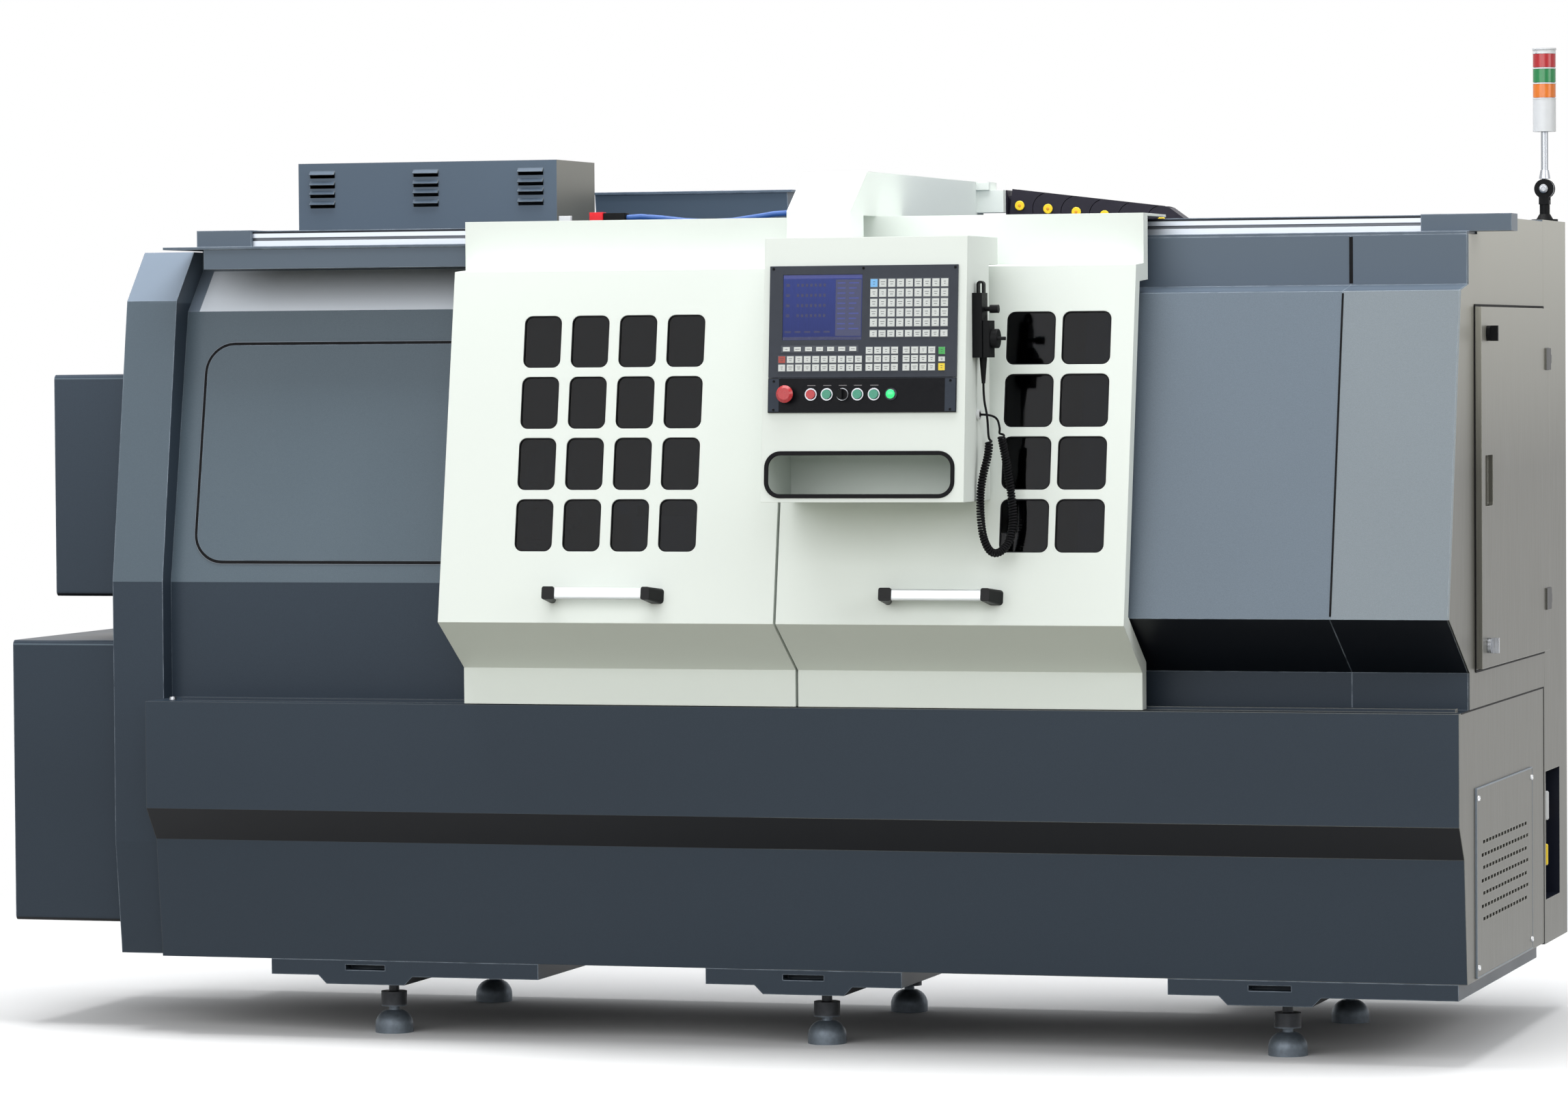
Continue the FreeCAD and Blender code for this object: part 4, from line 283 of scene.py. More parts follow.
def slate_tone(look):
    """The slate coat with painted light and shade: painted lighter towards the top and along the top band, a painted
    sheen on leaning faces, painted highlights on the top bevels, and painted shade, near black, on faces that look
    down.
    """
    normal = look.normal()
    grain = look.vary(0.97, 1.03, 1.1, 2.0), look.vary(0.9, 1.1, 700.0, 2.0)
    # painted light: the coat is painted lighter towards the top
    tone = look.multiply(look.multiply(SLATE, *grain), look.spread(look.height(), 0.6, 1.8, 0.95, 1.5))
    # painted sheen: faces that lean back are painted lighter, more so towards the right and most right of the cover
    # seam
    leaning = look.band(normal[2], 0.08, 0.18, 0.3, 0.4)
    outer = look.along(COVER_SEAM_X, COVER_SEAM_X + 2)
    inner_sheen = look.mix(look.along(-600, 900), rgb(84, 98, 109), rgb(100, 112, 124))
    painted_sheen = look.multiply(look.mix(outer, inner_sheen, rgb(121, 130, 137)), *grain)
    # painted light: the band below the roof edge and the roof's top are painted lighter
    band = look.inside((-1600.0, None, BAND_LOW_Z), (None, None, ROOF_EDGE_Z), 2.0)
    tone = look.mix(band, tone, rgb(88, 100, 113))
    tone = look.mix(look.inside((None, None, ROOF_EDGE_Z + 0.5), OPEN, 2.0), tone, rgb(78, 92, 107))
    tone = look.mix(leaning, tone, painted_sheen)
    # painted highlight: front-facing bevels near the top are painted pale, near white right of the column, where the
    # roof's overhang shades them
    bevel = look.times(
        look.band(normal[2], 0.5, 0.66, 0.8, 0.9), look.spread(normal[1], -0.6, -0.4, 1.0, 0.0),
        look.inside((None, None, 1600.0), (None, None, ROOF_EDGE_Z)),
    )
    right_of_column = look.along(COVER_LEFT_X - 2, COVER_LEFT_X)
    tone = look.mix(bevel, tone, look.mix(right_of_column, rgb(116, 129, 144), rgb(238, 245, 254)))
    # painted shade: faces that look down are painted near black
    return look.mix(look.spread(normal[2], -0.5, -0.3, 1.0, 0.0), tone, rgb(14, 16, 20))


def slate_paint():
    """A satin slate coat with a fine grain, painted lighter on leaning and upward faces as sheen and highlight, with
    edges lightened as wear and painted highlight.
    """
    look = Shader("slate_paint", Specular_IOR_Level=0.2)
    # edges lightened towards SLATE_EDGE: partly wear, partly painted highlight along the folds
    wear_and_highlight = look.times(look.edges(0.0035, 0.01, 0.2), look.spread(look.noise(30.0, 4.0), 0.2, 0.6))
    return look.coat(
        look.mix(wear_and_highlight, slate_tone(look), SLATE_EDGE),
        look.vary(0.35, 0.39, 5.0, 3.0),
        look.noise(420.0, 1.0), 0.05, 0.0006, 0.0025,
    )


def end_paint():
    """The right end's faces that look right: the slate paint drawn with a painted warm reflection and a metallic
    sheen, painted lighter towards the top and darker left of the middle, and brushed faintly upright; elsewhere it
    is slate.
    """
    look = Shader("end_paint", Specular_IOR_Level=0.2)
    outside = look.inside((END_X + 0.4, None, None), OPEN, 0.1)
    facing = look.math("MAXIMUM", look.spread(look.normal()[0], 0.6, 0.95), outside)
    brushed = look.noise(260.0, 3.0, 0.6, (1, 1, 0.03))
    # painted reflection and sheen: right-facing faces take a warm tone, lighter towards the top and half as bright
    # left of the middle
    warm_reflection = look.multiply(
        rgb(112, 111, 104), look.swing(brushed, 0.92, 1.08), look.spread(look.height(), 1.3, 1.85, 0.8, 2.4),
        look.along(-100, 0, 0.5, 1.0),
    )
    colour = look.mix(facing, slate_tone(look), warm_reflection)
    wear_and_highlight = look.times(look.edges(0.003, 0.01, 0.2), look.along(-100, 0, 0.15, 0.7))
    colour = look.mix(wear_and_highlight, colour, rgb(178, 178, 170))
    bare = look.math("ADD", *(
        look.inside((END_X + 0.6, 1022.0, z - 1.0), (None, None, z + 51.0)) for z in (HINGE_LOW_Z, HINGE_HIGH_Z)
    ))
    colour = look.mix(bare, colour, rgb(24, 25, 28))
    # painted shade: the recess in the end wall is painted near black
    recess_shade = look.inside((1415.0, 1104.0, 282.0), (1529.4, 1302.0, 584.0))
    sheen = look.times(facing, look.math("SUBTRACT", 0.6, bare))
    look.put("Metallic", look.math("MAXIMUM", sheen, 0.0))
    return look.coat(
        look.mix(recess_shade, colour, rgb(20, 24, 38)),
        look.swing(brushed, 0.34, 0.42),
        look.noise(420.0, 1.0), 0.05, 0.0006, 0.0025,
    )


def cream_paint():
    """Sprayed cream coat: slow tone changes, fine grain, orange peel and edges lightened as wear and painted
    highlight.
    """
    look = Shader("cream_paint", Specular_IOR_Level=0.08)
    slow = look.vary(0.99, 1.01, 1.6, 3.0)
    fine = look.vary(0.993, 1.007, 900.0, 1.0)
    wear_and_highlight = look.times(look.edges(), look.spread(look.noise(40.0, 4.0), 0.2, 0.7))
    return look.coat(
        look.mix(wear_and_highlight, look.multiply(CREAM, slow, fine), rgb(244, 248, 245)),
        look.vary(0.4, 0.51, 6.0, 4.0),
        look.noise(420.0, 1.0), 0.03, 0.0006, 0.0024,
    )


def cast_iron():
    look = Shader("cast_iron", Metallic=0.6, Specular_IOR_Level=0.5)
    coarse = look.noise(35.0, 6.0, 0.65)
    return look.coat(
        look.mix(look.spread(coarse, 0.35, 0.65), rgb(106, 110, 114), rgb(124, 128, 132)),
        look.swing(coarse, 0.42, 0.62),
        look.noise(240.0, 5.0, 0.7), 0.25, 0.0006, 0.0012,
    )


def glass():
    """Dark tinted window glass that still lets the chamber show through faintly."""
    look = Shader("window_glass", Transmission_Weight=1.0, IOR=1.2)
    smear = look.noise(5.0, 3.0, 0.5, (1, 1, 0.4))
    tone = look.mix(look.swing(smear, 0.0, 1.0), rgb(44, 56, 76), rgb(56, 68, 88))
    return look.coat(tone, look.swing(smear, 0.02, 0.07))


def lens_plastic():
    """The lamp column's lenses: red over green over amber, moulded with fine vertical ribs."""
    look = Shader("lens_plastic", Specular_IOR_Level=0.6, Subsurface_Weight=0.15)
    look.main.inputs["Subsurface Radius"].default_value = (0.02, 0.02, 0.02)
    low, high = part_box("lamp_lenses")
    third = (high.z - low.z) / 3
    middle, upper = [
        look.spread(look.height(), z - MM / 2, z + MM / 2) for z in (low.z + third, high.z - third)
    ]
    streak = look.noise(120.0, 3.0, 0.5, (1, 1, 0.1))
    colour = look.mix(upper, look.mix(middle, rgb(214, 112, 8), rgb(4, 120, 62)), rgb(168, 10, 24))
    return look.coat(
        look.multiply(colour, look.swing(streak, 0.85, 1.15)),
        look.swing(streak, 0.14, 0.26),
        streak, 0.3, 0.0005,
    )


def rail_metal():
    """Drawn aluminium, dark along its top edge, with painted shade in its groove."""
    look = Shader("rail_metal", Metallic=0.85)
    drawn = look.noise(260.0, 3.0, 0.6, (0.02, 1, 1))
    body = look.multiply(rgb(186, 192, 200), look.swing(drawn, 0.94, 1.06))
    colour = look.mix(look.inside((None, None, 1858.0), OPEN), body, rgb(30, 32, 36))
    # painted shade: the groove is painted darker
    groove_shade = look.inside((None, 171.0, None), (None, 177.0, 1850.0))
    return look.coat(
        look.mix(groove_shade, colour, rgb(92, 96, 102)),
        look.swing(drawn, 0.34, 0.5),
        drawn, 0.05, 0.0003, 0.0008,
    )


def handle_material():
    """A satin bar between black moulded brackets."""
    look = Shader("door_handles", Specular_IOR_Level=0.15)
    bars = look.math("ADD", *(
        look.inside((left, None, None), (left + HANDLE_GRIP, None, None), 0.1) for left in HANDLE_BARS
    ))
    drawn = look.noise(300.0, 3.0, 0.6, (0.02, 1, 1))
    bar_tone = look.multiply(rgb(214, 218, 220), look.swing(drawn, 0.95, 1.05))
    grain = look.multiply(rgb(9, 10, 12), look.vary(0.9, 1.1, 300.0, 2.0))
    look.put("Metallic", look.times(bars, 0.35))
    return look.coat(
        look.mix(bars, grain, bar_tone),
        look.swing(drawn, 0.3, 0.42),
        look.noise(1500.0, 1.0), 0.08, 0.0002, 0.0008,
    )


def foot_metal():
    """Grey pads below dark screws and nuts."""
    look = Shader("foot_metal", Metallic=0.5)
    cast = look.vary(0.86, 1.12, 90.0, 4.0)
    pad = look.spread(look.height(), 62 * MM, 66 * MM, 1.0, 0.0)
    return look.coat(
        look.multiply(look.mix(pad, rgb(58, 60, 64), rgb(112, 122, 132)), cast),
        look.vary(0.42, 0.56, 60.0, 3.0),
        look.noise(300.0, 3.0), 0.2, 0.0003, 0.0012,
    )


def air_unit_material():
    """Pale heads over smoked bowls, with a yellow ring between them."""
    look = Shader("air_unit_parts", Specular_IOR_Level=0.5)
    height = look.height()
    head = look.mix(look.spread(height, 0.497, 0.499), rgb(214, 176, 40), rgb(206, 208, 204))
    colour = look.mix(look.spread(height, 0.452, 0.454), rgb(58, 62, 70), head)
    return look.coat(
        look.multiply(colour, look.vary(0.92, 1.08, 200.0, 3.0)),
        look.vary(0.3, 0.42, 90.0, 2.0),
        look.noise(900.0, 1.0), 0.08, 0.0002, 0.0008,
    )


def keys_material():
    """Light key caps on a dark membrane, told apart by how far they stand off the panel."""
    look = Shader("panel_keys", Specular_IOR_Level=0.4)
    offset = look.vector("SUBTRACT", look.place(), PENDANT_FACE.point(0, 0, 0))[0]
    stand = look.vector("DOT_PRODUCT", offset, PENDANT_FACE.out)["Value"]
    cap = look.spread(stand, 0.0060, 0.0066)
    return look.coat(
        look.multiply(look.mix(cap, rgb(50, 56, 66), rgb(198, 202, 200)), look.vary(0.94, 1.05, 300.0, 2.0)),
        look.vary(0.38, 0.52, 90.0, 2.0),
        look.noise(900.0, 1.0), 0.1, 0.0002, 0.0006,
    )


def screen_material():
    """The display behind its cover: a blue-grey field, lighter towards the top, with a fine raster."""
    look = Shader("screen_glow", Specular_IOR_Level=0.15, Roughness=0.4, Emission_Strength=0.25)
    rise = look.spread(look.height(), 1.60, 1.742)
    raster = look.vary(0.93, 1.07, 500.0, 1.0, 0.5, (1, 1, 0.02))
    colour = look.multiply(look.mix(rise, rgb(30, 40, 92), rgb(40, 52, 110)), raster)
    look.put("Emission Color", colour)
    return look.coat(colour, None, look.noise(1200.0, 1.0), 0.03, 0.0001)


def pilot_material():
    look = Shader("pilot_glow", Specular_IOR_Level=0.6, Roughness=0.2, Emission_Strength=0.5)
    colour = look.multiply(rgb(40, 214, 120), look.vary(0.9, 1.1, 300.0, 2.0))
    look.put("Emission Color", colour)
    return look.coat(colour)


def mark(name, colour, roughness=0.5):
    """Printed marks: a colour with slightly uneven ink."""
    look = Shader(name, Specular_IOR_Level=0.3)
    ink = look.multiply(colour, look.vary(0.9, 1.1, 700.0, 2.0))
    return look.coat(ink, look.vary(roughness - 0.05, roughness + 0.05, 200.0, 2.0))


# ---- places on the machine ----

class Face:
    """A flat face to build on. across and up run over it and out leaves it; sizes in millimetres."""

    def __init__(self, origin, across, up):
        self.origin = Vector(origin)
        self.across = Vector(across).normalized()
        self.up = Vector(up).normalized()
        self.out = self.across.cross(self.up).normalized()

    def point(self, a, b, h):
        return at(*(self.origin + self.across * a + self.up * b + self.out * h))

    def height(self, z):
        """The distance up this face at which it reaches the height z."""
        return (z - self.origin.z) / self.up.z


def leaning_face(foot, head):
    """The face that leans from foot to head, both (y, z), seen from the front."""
    return Face((0, foot[0], foot[1]), (1, 0, 0), (0, head[0] - foot[0], head[1] - foot[1]))


DOOR_FACE = leaning_face((-172.0, 976.0), (-37.0, 1761.0))
PENDANT_FACE = leaning_face((-360.0, 1249.0), (-310.0, 1823.0))
END_FACE = Face((END_X, 0, 0), (0, 1, 0), (0, 0, 1))
TOP_FACE = Face((0, 0, 0), (1, 0, 0), (0, 1, 0))


def rounded_outline(low, high, radius, steps=5):
    """A rectangle from low to high (a, b) with rounded corners, anticlockwise."""
    points = []
    corners = rectangle((low[0] + radius, low[1] + radius), (high[0] - radius, high[1] - radius))
    for index, (a, b) in enumerate(corners[2:] + corners[:2]):
        for step in range(steps + 1):
            angle = radians(90 * index + 90 * step / steps)
            points.append((a + radius * cos(angle), b + radius * sin(angle)))
    return points


def rectangle(low, high):
    return [(low[0], low[1]), (high[0], low[1]), (high[0], high[1]), (low[0], high[1])]


def circle_outline(centre, radius, sides=24):
    turns = [2 * pi * i / sides for i in range(sides)]
    return [(centre[0] + radius * cos(turn), centre[1] + radius * sin(turn)) for turn in turns]


class Mesh:
    """Gathers solids for one piece."""

    def __init__(self, bm=None):
        self.bm = bm or bmesh.new()

    def faces(self, rows, closed_rows=True, material=0):
        """Skins equal rows of points into quads; each row is a closed loop unless told otherwise."""
        rings = [[self.bm.verts.new(p) for p in row] for row in rows]
        count = len(rings[0])
        for one, two in zip(rings, rings[1:]):
            for i in range(count if closed_rows else count - 1):
                j = (i + 1) % count
                self.bm.faces.new((one[i], one[j], two[j], two[i])).material_index = material
        return rings

    def solid(self, rows, material=0):
        """Skins the rows and closes both ends."""
        rings = self.faces(rows, material=material)
        for ring in (rings[0][::-1], rings[-1]):
            self.bm.faces.new(ring).material_index = material

    def slab(self, face, outline, low, high, material=0):
        """An outline raised from low to high off a face."""
        self.solid([[face.point(a, b, height) for a, b in outline] for height in (low, high)], material)

    def ring(self, face, outer, inner, low, high, material=0):
        """A closed band between two outlines with the same number of points."""
        loops = [(outer, low), (outer, high), (inner, high), (inner, low), (outer, low)]
        self.faces([[face.point(a, b, height) for a, b in line] for line, height in loops], material=material)

    def turned(self, face, centre, profile, sides=32, material=0):
        """A shape turned about the face's outward direction; profile is (radius, height) from the bottom."""
        self.solid([
            [face.point(a, b, height) for a, b in circle_outline(centre, max(radius, 0.01), sides)]
            for radius, height in profile
        ], material)

    def done(self, name, body, looks, bevel=0.0, segments=2, smooth=35.0):
        """Makes the piece; looks names its materials in the order of their indices."""
        bmesh.ops.remove_doubles(self.bm, verts=self.bm.verts, dist=1e-7)
        bmesh.ops.recalc_face_normals(self.bm, faces=self.bm.faces)
        data = bpy.data.meshes.new(name)
        self.bm.to_mesh(data)
        self.bm.free()
        made = linked(name, data)
        for look in looks.split():
            data.materials.append(MATERIALS[look])
        data.polygons.foreach_set("use_smooth", [True] * len(data.polygons))
        data.set_sharp_from_angle(angle=radians(smooth))
        if bevel:
            modifier = made.modifiers.new("edges", "BEVEL")
            modifier.width = bevel * MM
            modifier.segments = segments
            modifier.limit_method = "ANGLE"
            modifier.angle_limit = radians(30)
            modifier.harden_normals = True
        if body:
            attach(made, body)
        return made


# ---- the carried-over solids get their materials ----

MATERIALS = {
    "slate": slate_paint(),
    "end": end_paint(),
    "cream": cream_paint(),
    "iron": cast_iron(),
    "glass": glass(),
    "rail": rail_metal(),
    "handle": handle_material(),
    "air": air_unit_material(),
    "black": plastic("black_plastic", rgb(7, 8, 10), 0.5, specular=0.12),
    "chain": plastic("chain_plastic", rgb(38, 36, 46), 0.4, 0.08, specular=0.15),
    "panel": plastic("dark_panel", rgb(54, 58, 66), 0.5, 0.04, 0.1, 0.15),
    "switch": plastic("switch_panel", rgb(12, 13, 17), 0.4, 0.04, 0.1, 0.08),
    "rubber": plastic("black_rubber", rgb(9, 9, 12), 0.6, 0.1, 0.3, 0.12),
    "red": plastic("red_plastic", rgb(172, 16, 26), 0.3, 0.04, 0.05, 0.5),
    "green": plastic("green_plastic", rgb(30, 134, 106), 0.3, 0.04, 0.05, 0.5),
    "lens": lens_plastic(),
    "white": plastic("white_plastic", rgb(206, 208, 210), 0.35, 0.02, 0.05, 0.45),
    "chrome": metal("chrome", rgb(214, 216, 219), 0.12, 0.02, (1, 1, 1), 0.02),
    "aluminium": metal("aluminium", rgb(222, 225, 229), 0.32, 0.03, (0.02, 1, 1), 0.05),
    "steel": metal("brushed_steel", rgb(176, 178, 180), 0.3, 0.06, (1, 0.05, 1), 0.08),
    "zinc": foot_metal(),
    "keys": keys_material(),
    "screen": screen_material(),
    "yellow": plastic("yellow_plastic", rgb(240, 206, 30), 0.4, 0.03, 0.05, light=rgb(250, 222, 80)),
    # painted highlight: a pale material for strips that stand for light caught along panel edges
    "highlight_strip": plastic("painted_edge_highlight", rgb(128, 138, 150), 0.4, 0.05, 0.05),
    "hose": plastic("blue_hose", rgb(42, 84, 150), 0.35, 0.06, 0.1),
    "orange": plastic("orange_plastic", rgb(224, 150, 30), 0.4, 0.06),
    "pole": metal("pole_metal", rgb(168, 171, 176), 0.28, 0.04, (1, 1, 0.05), 0.04),
    "bezel": metal("bezel", rgb(150, 152, 156), 0.3, 0.04),
    "ear": plastic("panel_ear", rgb(52, 58, 68), 0.5, 0.05, 0.1, 0.1),
    "red_block": plastic("red_block", rgb(216, 34, 44), 0.4, 0.05, 0.1, 0.2),
    "pilot": pilot_material(),
}

MARKS = {
    "dark_mark": (rgb(60, 64, 72),), "grey_mark": (rgb(128, 124, 126),),
    "blue_mark": (rgb(120, 178, 226),), "red_mark": (rgb(160, 70, 62),), "green_mark": (rgb(70, 160, 84),),
    "yellow_mark": (rgb(226, 200, 60),), "screen_head": (rgb(36, 50, 130), 0.2),
    "screen_side": (rgb(32, 40, 84), 0.2), "screen_ink": (rgb(26, 32, 78), 0.3),
}
MATERIALS.update((name, mark(name, *values)) for name, values in MARKS.items())

NODE_LOOKS = {
    "slate": (
        "foot_beams left_end_housing headstock_cover right_cover_inner enclosure_shell spindle_end_cover "
        "motor_cover roof_duct right_cover_outer"
    ),
    "end": "base_skirt right_end_wall base_vent_cover access_door rear_cabinet roof_vent_box",
    "cream": "left_door right_door pendant_box pendant_arm",
    "iron": "bed headstock carriage cross_slide tailstock tool_post",
    "steel": "chuck chuck_jaw_1 chuck_jaw_2 chuck_jaw_3 quill",
    "glass": "left_door_glass right_door_glass",
    "rail": "door_rail",
    "handle": "left_handle right_handle",
    "pole": "tower_pole latch_lower",
    "zinc": "levelling_feet",
    "chain": "drag_chain",
    "air": "air_unit",
    "black": (
        "tower_foot latch_upper handset handset_wheel handset_knob cord_gland mode_selector cord_coil "
        "cord_lead_handset cord_lead_pendant"
    ),
    "white": "tower_body",
    "lens": "lamp_lenses",
    "panel": "cnc_panel",
    "keys": "panel_keys",
    "red": "estop_button red_button",
    "green": "green_button_1 green_button_2 green_button_3",
}

for look, names in NODE_LOOKS.items():
    for name in names.split():
        slots = frame["nodes"][name].data.materials
        for index in range(len(slots)):
            slots[index] = MATERIALS[look]
        if not slots:
            slots.append(MATERIALS[look])
left_out = set(frame["nodes"]) - set(" ".join(NODE_LOOKS.values()).split())
if left_out:
    raise SystemExit(f"nodes without a material: {sorted(left_out)}")


# ---- windows ----

WINDOW_ROWS = 4
WINDOW_HEIGHT = 118.0
WINDOW_ROW_PITCH = 138.5
WINDOW_TOP_Z = 1660.0


def window_gaskets(name, body, first_x, width, pitch, columns):
    """A rubber edge strip round each window cut-out, lying in the sheet's thickness."""
    mesh = Mesh()
    top = DOOR_FACE.height(WINDOW_TOP_Z)
    for column in range(columns):
        for row in range(WINDOW_ROWS):
            x = first_x + column * pitch
            high = top - row * WINDOW_ROW_PITCH
            outer = rounded_outline((x, high - WINDOW_HEIGHT), (x + width, high), 18.0)
            inner = rounded_outline((x + 2.5, high - WINDOW_HEIGHT + 2.5), (x + width - 2.5, high - 2.5), 15.5)
            mesh.ring(DOOR_FACE, outer, inner, -4.0, -0.6)
    mesh.done(name, body, "rubber", 0.4)


window_gaskets("left_window_gaskets", "front_door_left", -577.0, 88.0, 112.3, 4)
window_gaskets("right_window_gaskets", RIGHT_DOOR, 542.0, 110.0, 125.0, 2)


# ---- seams, trims and fittings on the enclosure ----

def frame_strip(name, face, low, high, radius, width, rise, look="rubber"):
    """A thin strip round a panel's edge that rises off the face."""
    mesh = Mesh()
    outer = rounded_outline((low[0] - width, low[1] - width), (high[0] + width, high[1] + width), radius + width, 8)
    inner = rounded_outline(low, high, radius, 8)
    mesh.ring(face, outer, inner, 0.0, rise)
    mesh.done(name, "machine", look)


COVER_FACE = leaning_face((162.0, 1051.0), (285.0, 1680.0))
PANEL_LOW = (-1470.0, COVER_FACE.height(1100.0))
PANEL_HIGH = (-760.0, COVER_FACE.height(1600.0))
PANEL_RADIUS, SEAM = 65.0, 6.5
frame_strip("cover_panel_seam", COVER_FACE, PANEL_LOW, PANEL_HIGH, PANEL_RADIUS, SEAM, 2.6)
# painted highlight: a pale strip outside the seam stands for light caught on the panel's edge
frame_strip("cover_panel_highlight", COVER_FACE, (PANEL_LOW[0] - SEAM, PANEL_LOW[1] - SEAM),
            (PANEL_HIGH[0] + SEAM, PANEL_HIGH[1] + SEAM), PANEL_RADIUS + SEAM, 1.6, 1.0, "highlight_strip")
frame_strip("access_door_seam", END_FACE, (199.0, 866.0), (1086.0, 1664.0), 3.0, 5.0, 2.4)
# painted highlight: a pale strip round the vent cover's edge
frame_strip("vent_cover_highlight", END_FACE, (190.0, 192.0), (900.0, 605.0), 1.0, 3.0, 4.5, "highlight_strip")


def screws(name, body, face, places, radius, height, look):
    """Button-head screws with a socket, on a face."""
    mesh = Mesh()
    for a, b in places:
        mesh.turned(face, (a, b), [
            (radius, height[0]), (radius, height[0] + 0.5), (radius * 0.8, height[1]), (radius * 0.45, height[1]),
            (radius * 0.42, height[1] - 1.0),
        ], 20)
    mesh.done(name, body, look, smooth=50.0)


LINE_RISE = 0.8


def cover_seams():
    """Dark joint lines where the right cover's inner and outer parts meet."""
    mesh = Mesh()
    lower = leaning_face((-112.0, 990.0), (45.0, 1699.0))
    upper = Face((0, 135.0, 0), (1, 0, 0), (0, 0, 1))
    for face, half, low, high in ((lower, 2.2, 996.0, 1694.0), (upper, 4.0, 1716.0, 1818.0)):
        corners = [(COVER_SEAM_X + side, face.height(z)) for side, z in ((-half, low), (half, high))]
        mesh.slab(face, rectangle(*corners), 0.0, LINE_RISE)
    mesh.done("right_cover_seam", "machine", "rubber")


cover_seams()


def end_lines():
    """Dark joint lines round the base's right end, and a bolt on the base's top ledge."""
    mesh = Mesh()
    for (left, right), (low, high) in (((1079.0, 1083.5), (184.0, 779.0)), ((24.0, 1083.5), (779.5, 783.0))):
        mesh.slab(END_FACE, rectangle((left, low), (right, high)), 0.0, LINE_RISE)
    mesh.done("base_end_lines", "machine", "rubber")
    screws("base_ledge_bolt", "machine", TOP_FACE, [(-1490.0, 70.0)], 9.0, (782.0, 789.0), "bezel")


end_lines()


def side_fittings():
    """The pale collar round the cord's gland, and the air unit's regulator head with its yellow drain."""
    mesh = Mesh()
    side = Face((521.0, 0, 0), (0, 1, 0), (0, 0, 1))
    centre = (-243.0, 1436.6)
    mesh.ring(side, circle_outline(centre, 10.5, 32), circle_outline(centre, 7.3, 32), 0.0, 7.5)
    mesh.done("gland_collar", RIGHT_DOOR, "white", 1.0)
    mesh = Mesh()
    for look, (low, high, radius) in enumerate(((468.0, 536.0, 13.0), (412.0, 468.0, 7.0), (362.0, 412.0, 11.0))):
        profile = [(radius * 0.8, low), (radius, low + 3), (radius, high - 3), (radius * 0.8, high)]
        mesh.turned(TOP_FACE, (1520.0, 1132.0), profile, 24, look)
    mesh.slab(TOP_FACE, rounded_outline((1500.0, 1128.0), (1520.0, 1150.0), 2.0, 2), 492.0, 520.0)
    mesh.done("air_regulator", "machine", "white black yellow", 0.8)


side_fittings()


ROOF_TOP_Z = 1866.0
HOSE_Y = 305.0
HOSE_RADIUS = 6.5


def roof_fittings():
    """A small red and a black connector block and a pale one, with a blue air hose, on the roof's front edge."""
    mesh = Mesh()
    blocks = [
        ((-540.0, 292.0), (-506.0, 318.0), 1899.0),
        ((-505.5, 290.0), (-452.0, 320.0), 1897.0),
        ((-616.0, 298.0), (-587.0, 312.0), 1892.0),
    ]
    for look, (low, high, top) in enumerate(blocks):
        mesh.slab(TOP_FACE, rounded_outline(low, high, 3.0, 3), ROOF_TOP_Z, top, look)
    mesh.done("roof_blocks", "machine", "red_block black white", 1.0)
    hose = Mesh()
    line = [(-452, 1886), (-420, 1888), (-370, 1884), (-310, 1877), (-260, 1874), (-200, 1876), (-140, 1884),
            (-100, 1890), (-66, 1892)]
    rows = []
    for index, (x, z) in enumerate(line):
        before, after = line[max(0, index - 1)], line[min(len(line) - 1, index + 1)]
        way = atan2(after[1] - before[1], after[0] - before[0])
        section = circle_outline((HOSE_Y, 0.0), HOSE_RADIUS, 16)
        rows.append([at(x - out * sin(way), y, z + out * cos(way)) for y, out in section])
    hose.solid(rows)
    hose.done("air_hose", "machine", "hose", smooth=60.0)


roof_fittings()


screws("vent_cover_screws", "machine", END_FACE, [(204.0, 585.0), (886.0, 585.0), (204.0, 212.0), (886.0, 212.0)],
       7.0, (4.0, 8.0), "chrome")


# ---- signal tower ----

def tower_rings():
    """Pale joint rings between the lenses, and the silver screws in the folding joint."""
    mesh = Mesh()
    face = Face((1492.0, 1345.0, 0.0), (1, 0, 0), (0, 1, 0))
    for z in (2161.0, 2196.7, 2232.3, 2268.0):
        outer, inner = circle_outline((0, 0), 27.4, 40), circle_outline((0, 0), 26.4, 40)
        mesh.ring(face, outer, inner, z - 1.5, z + 1.5)
    mesh.done("tower_rings", "tower", "white", smooth=40.0)
    front = Face((0.0, 1345.0, 0.0), (1, 0, 0), (0, 0, 1))
    screws("tower_screw", "machine", front, [(1492.0, 1948.0)], 10.5, (17.6, 19.4), "bezel")


tower_rings()


# ---- document tray trim ----

tray = Mesh()
tray_low, tray_high = PENDANT_FACE.height(1260.0), PENDANT_FACE.height(1358.0)
tray.ring(
    PENDANT_FACE,
    rounded_outline((72.0, tray_low - 2.0), (500.0, tray_high + 2.0), 36.0, 10),
    rounded_outline((81.0, tray_low + 7.0), (491.0, tray_high - 7.0), 27.0, 10),
    -3.5, 3.0,
)
tray.done("tray_edge_trim", RIGHT_DOOR, "rubber", 1.4, 3)


# ---- control panel ----

PANEL_THICK = 5.0
SCREEN_X = (109.0, 288.0)
SCREEN_Z = (1600.0, 1742.0)
panel_height = PENDANT_FACE.height


def strip(mesh, x_range, z_range, low, high, material=0):
    """A thin rectangle on the pendant's face."""
    corners = [(x, panel_height(z)) for x, z in zip(x_range, z_range)]
    mesh.slab(PENDANT_FACE, rectangle(*corners), low, high, material)


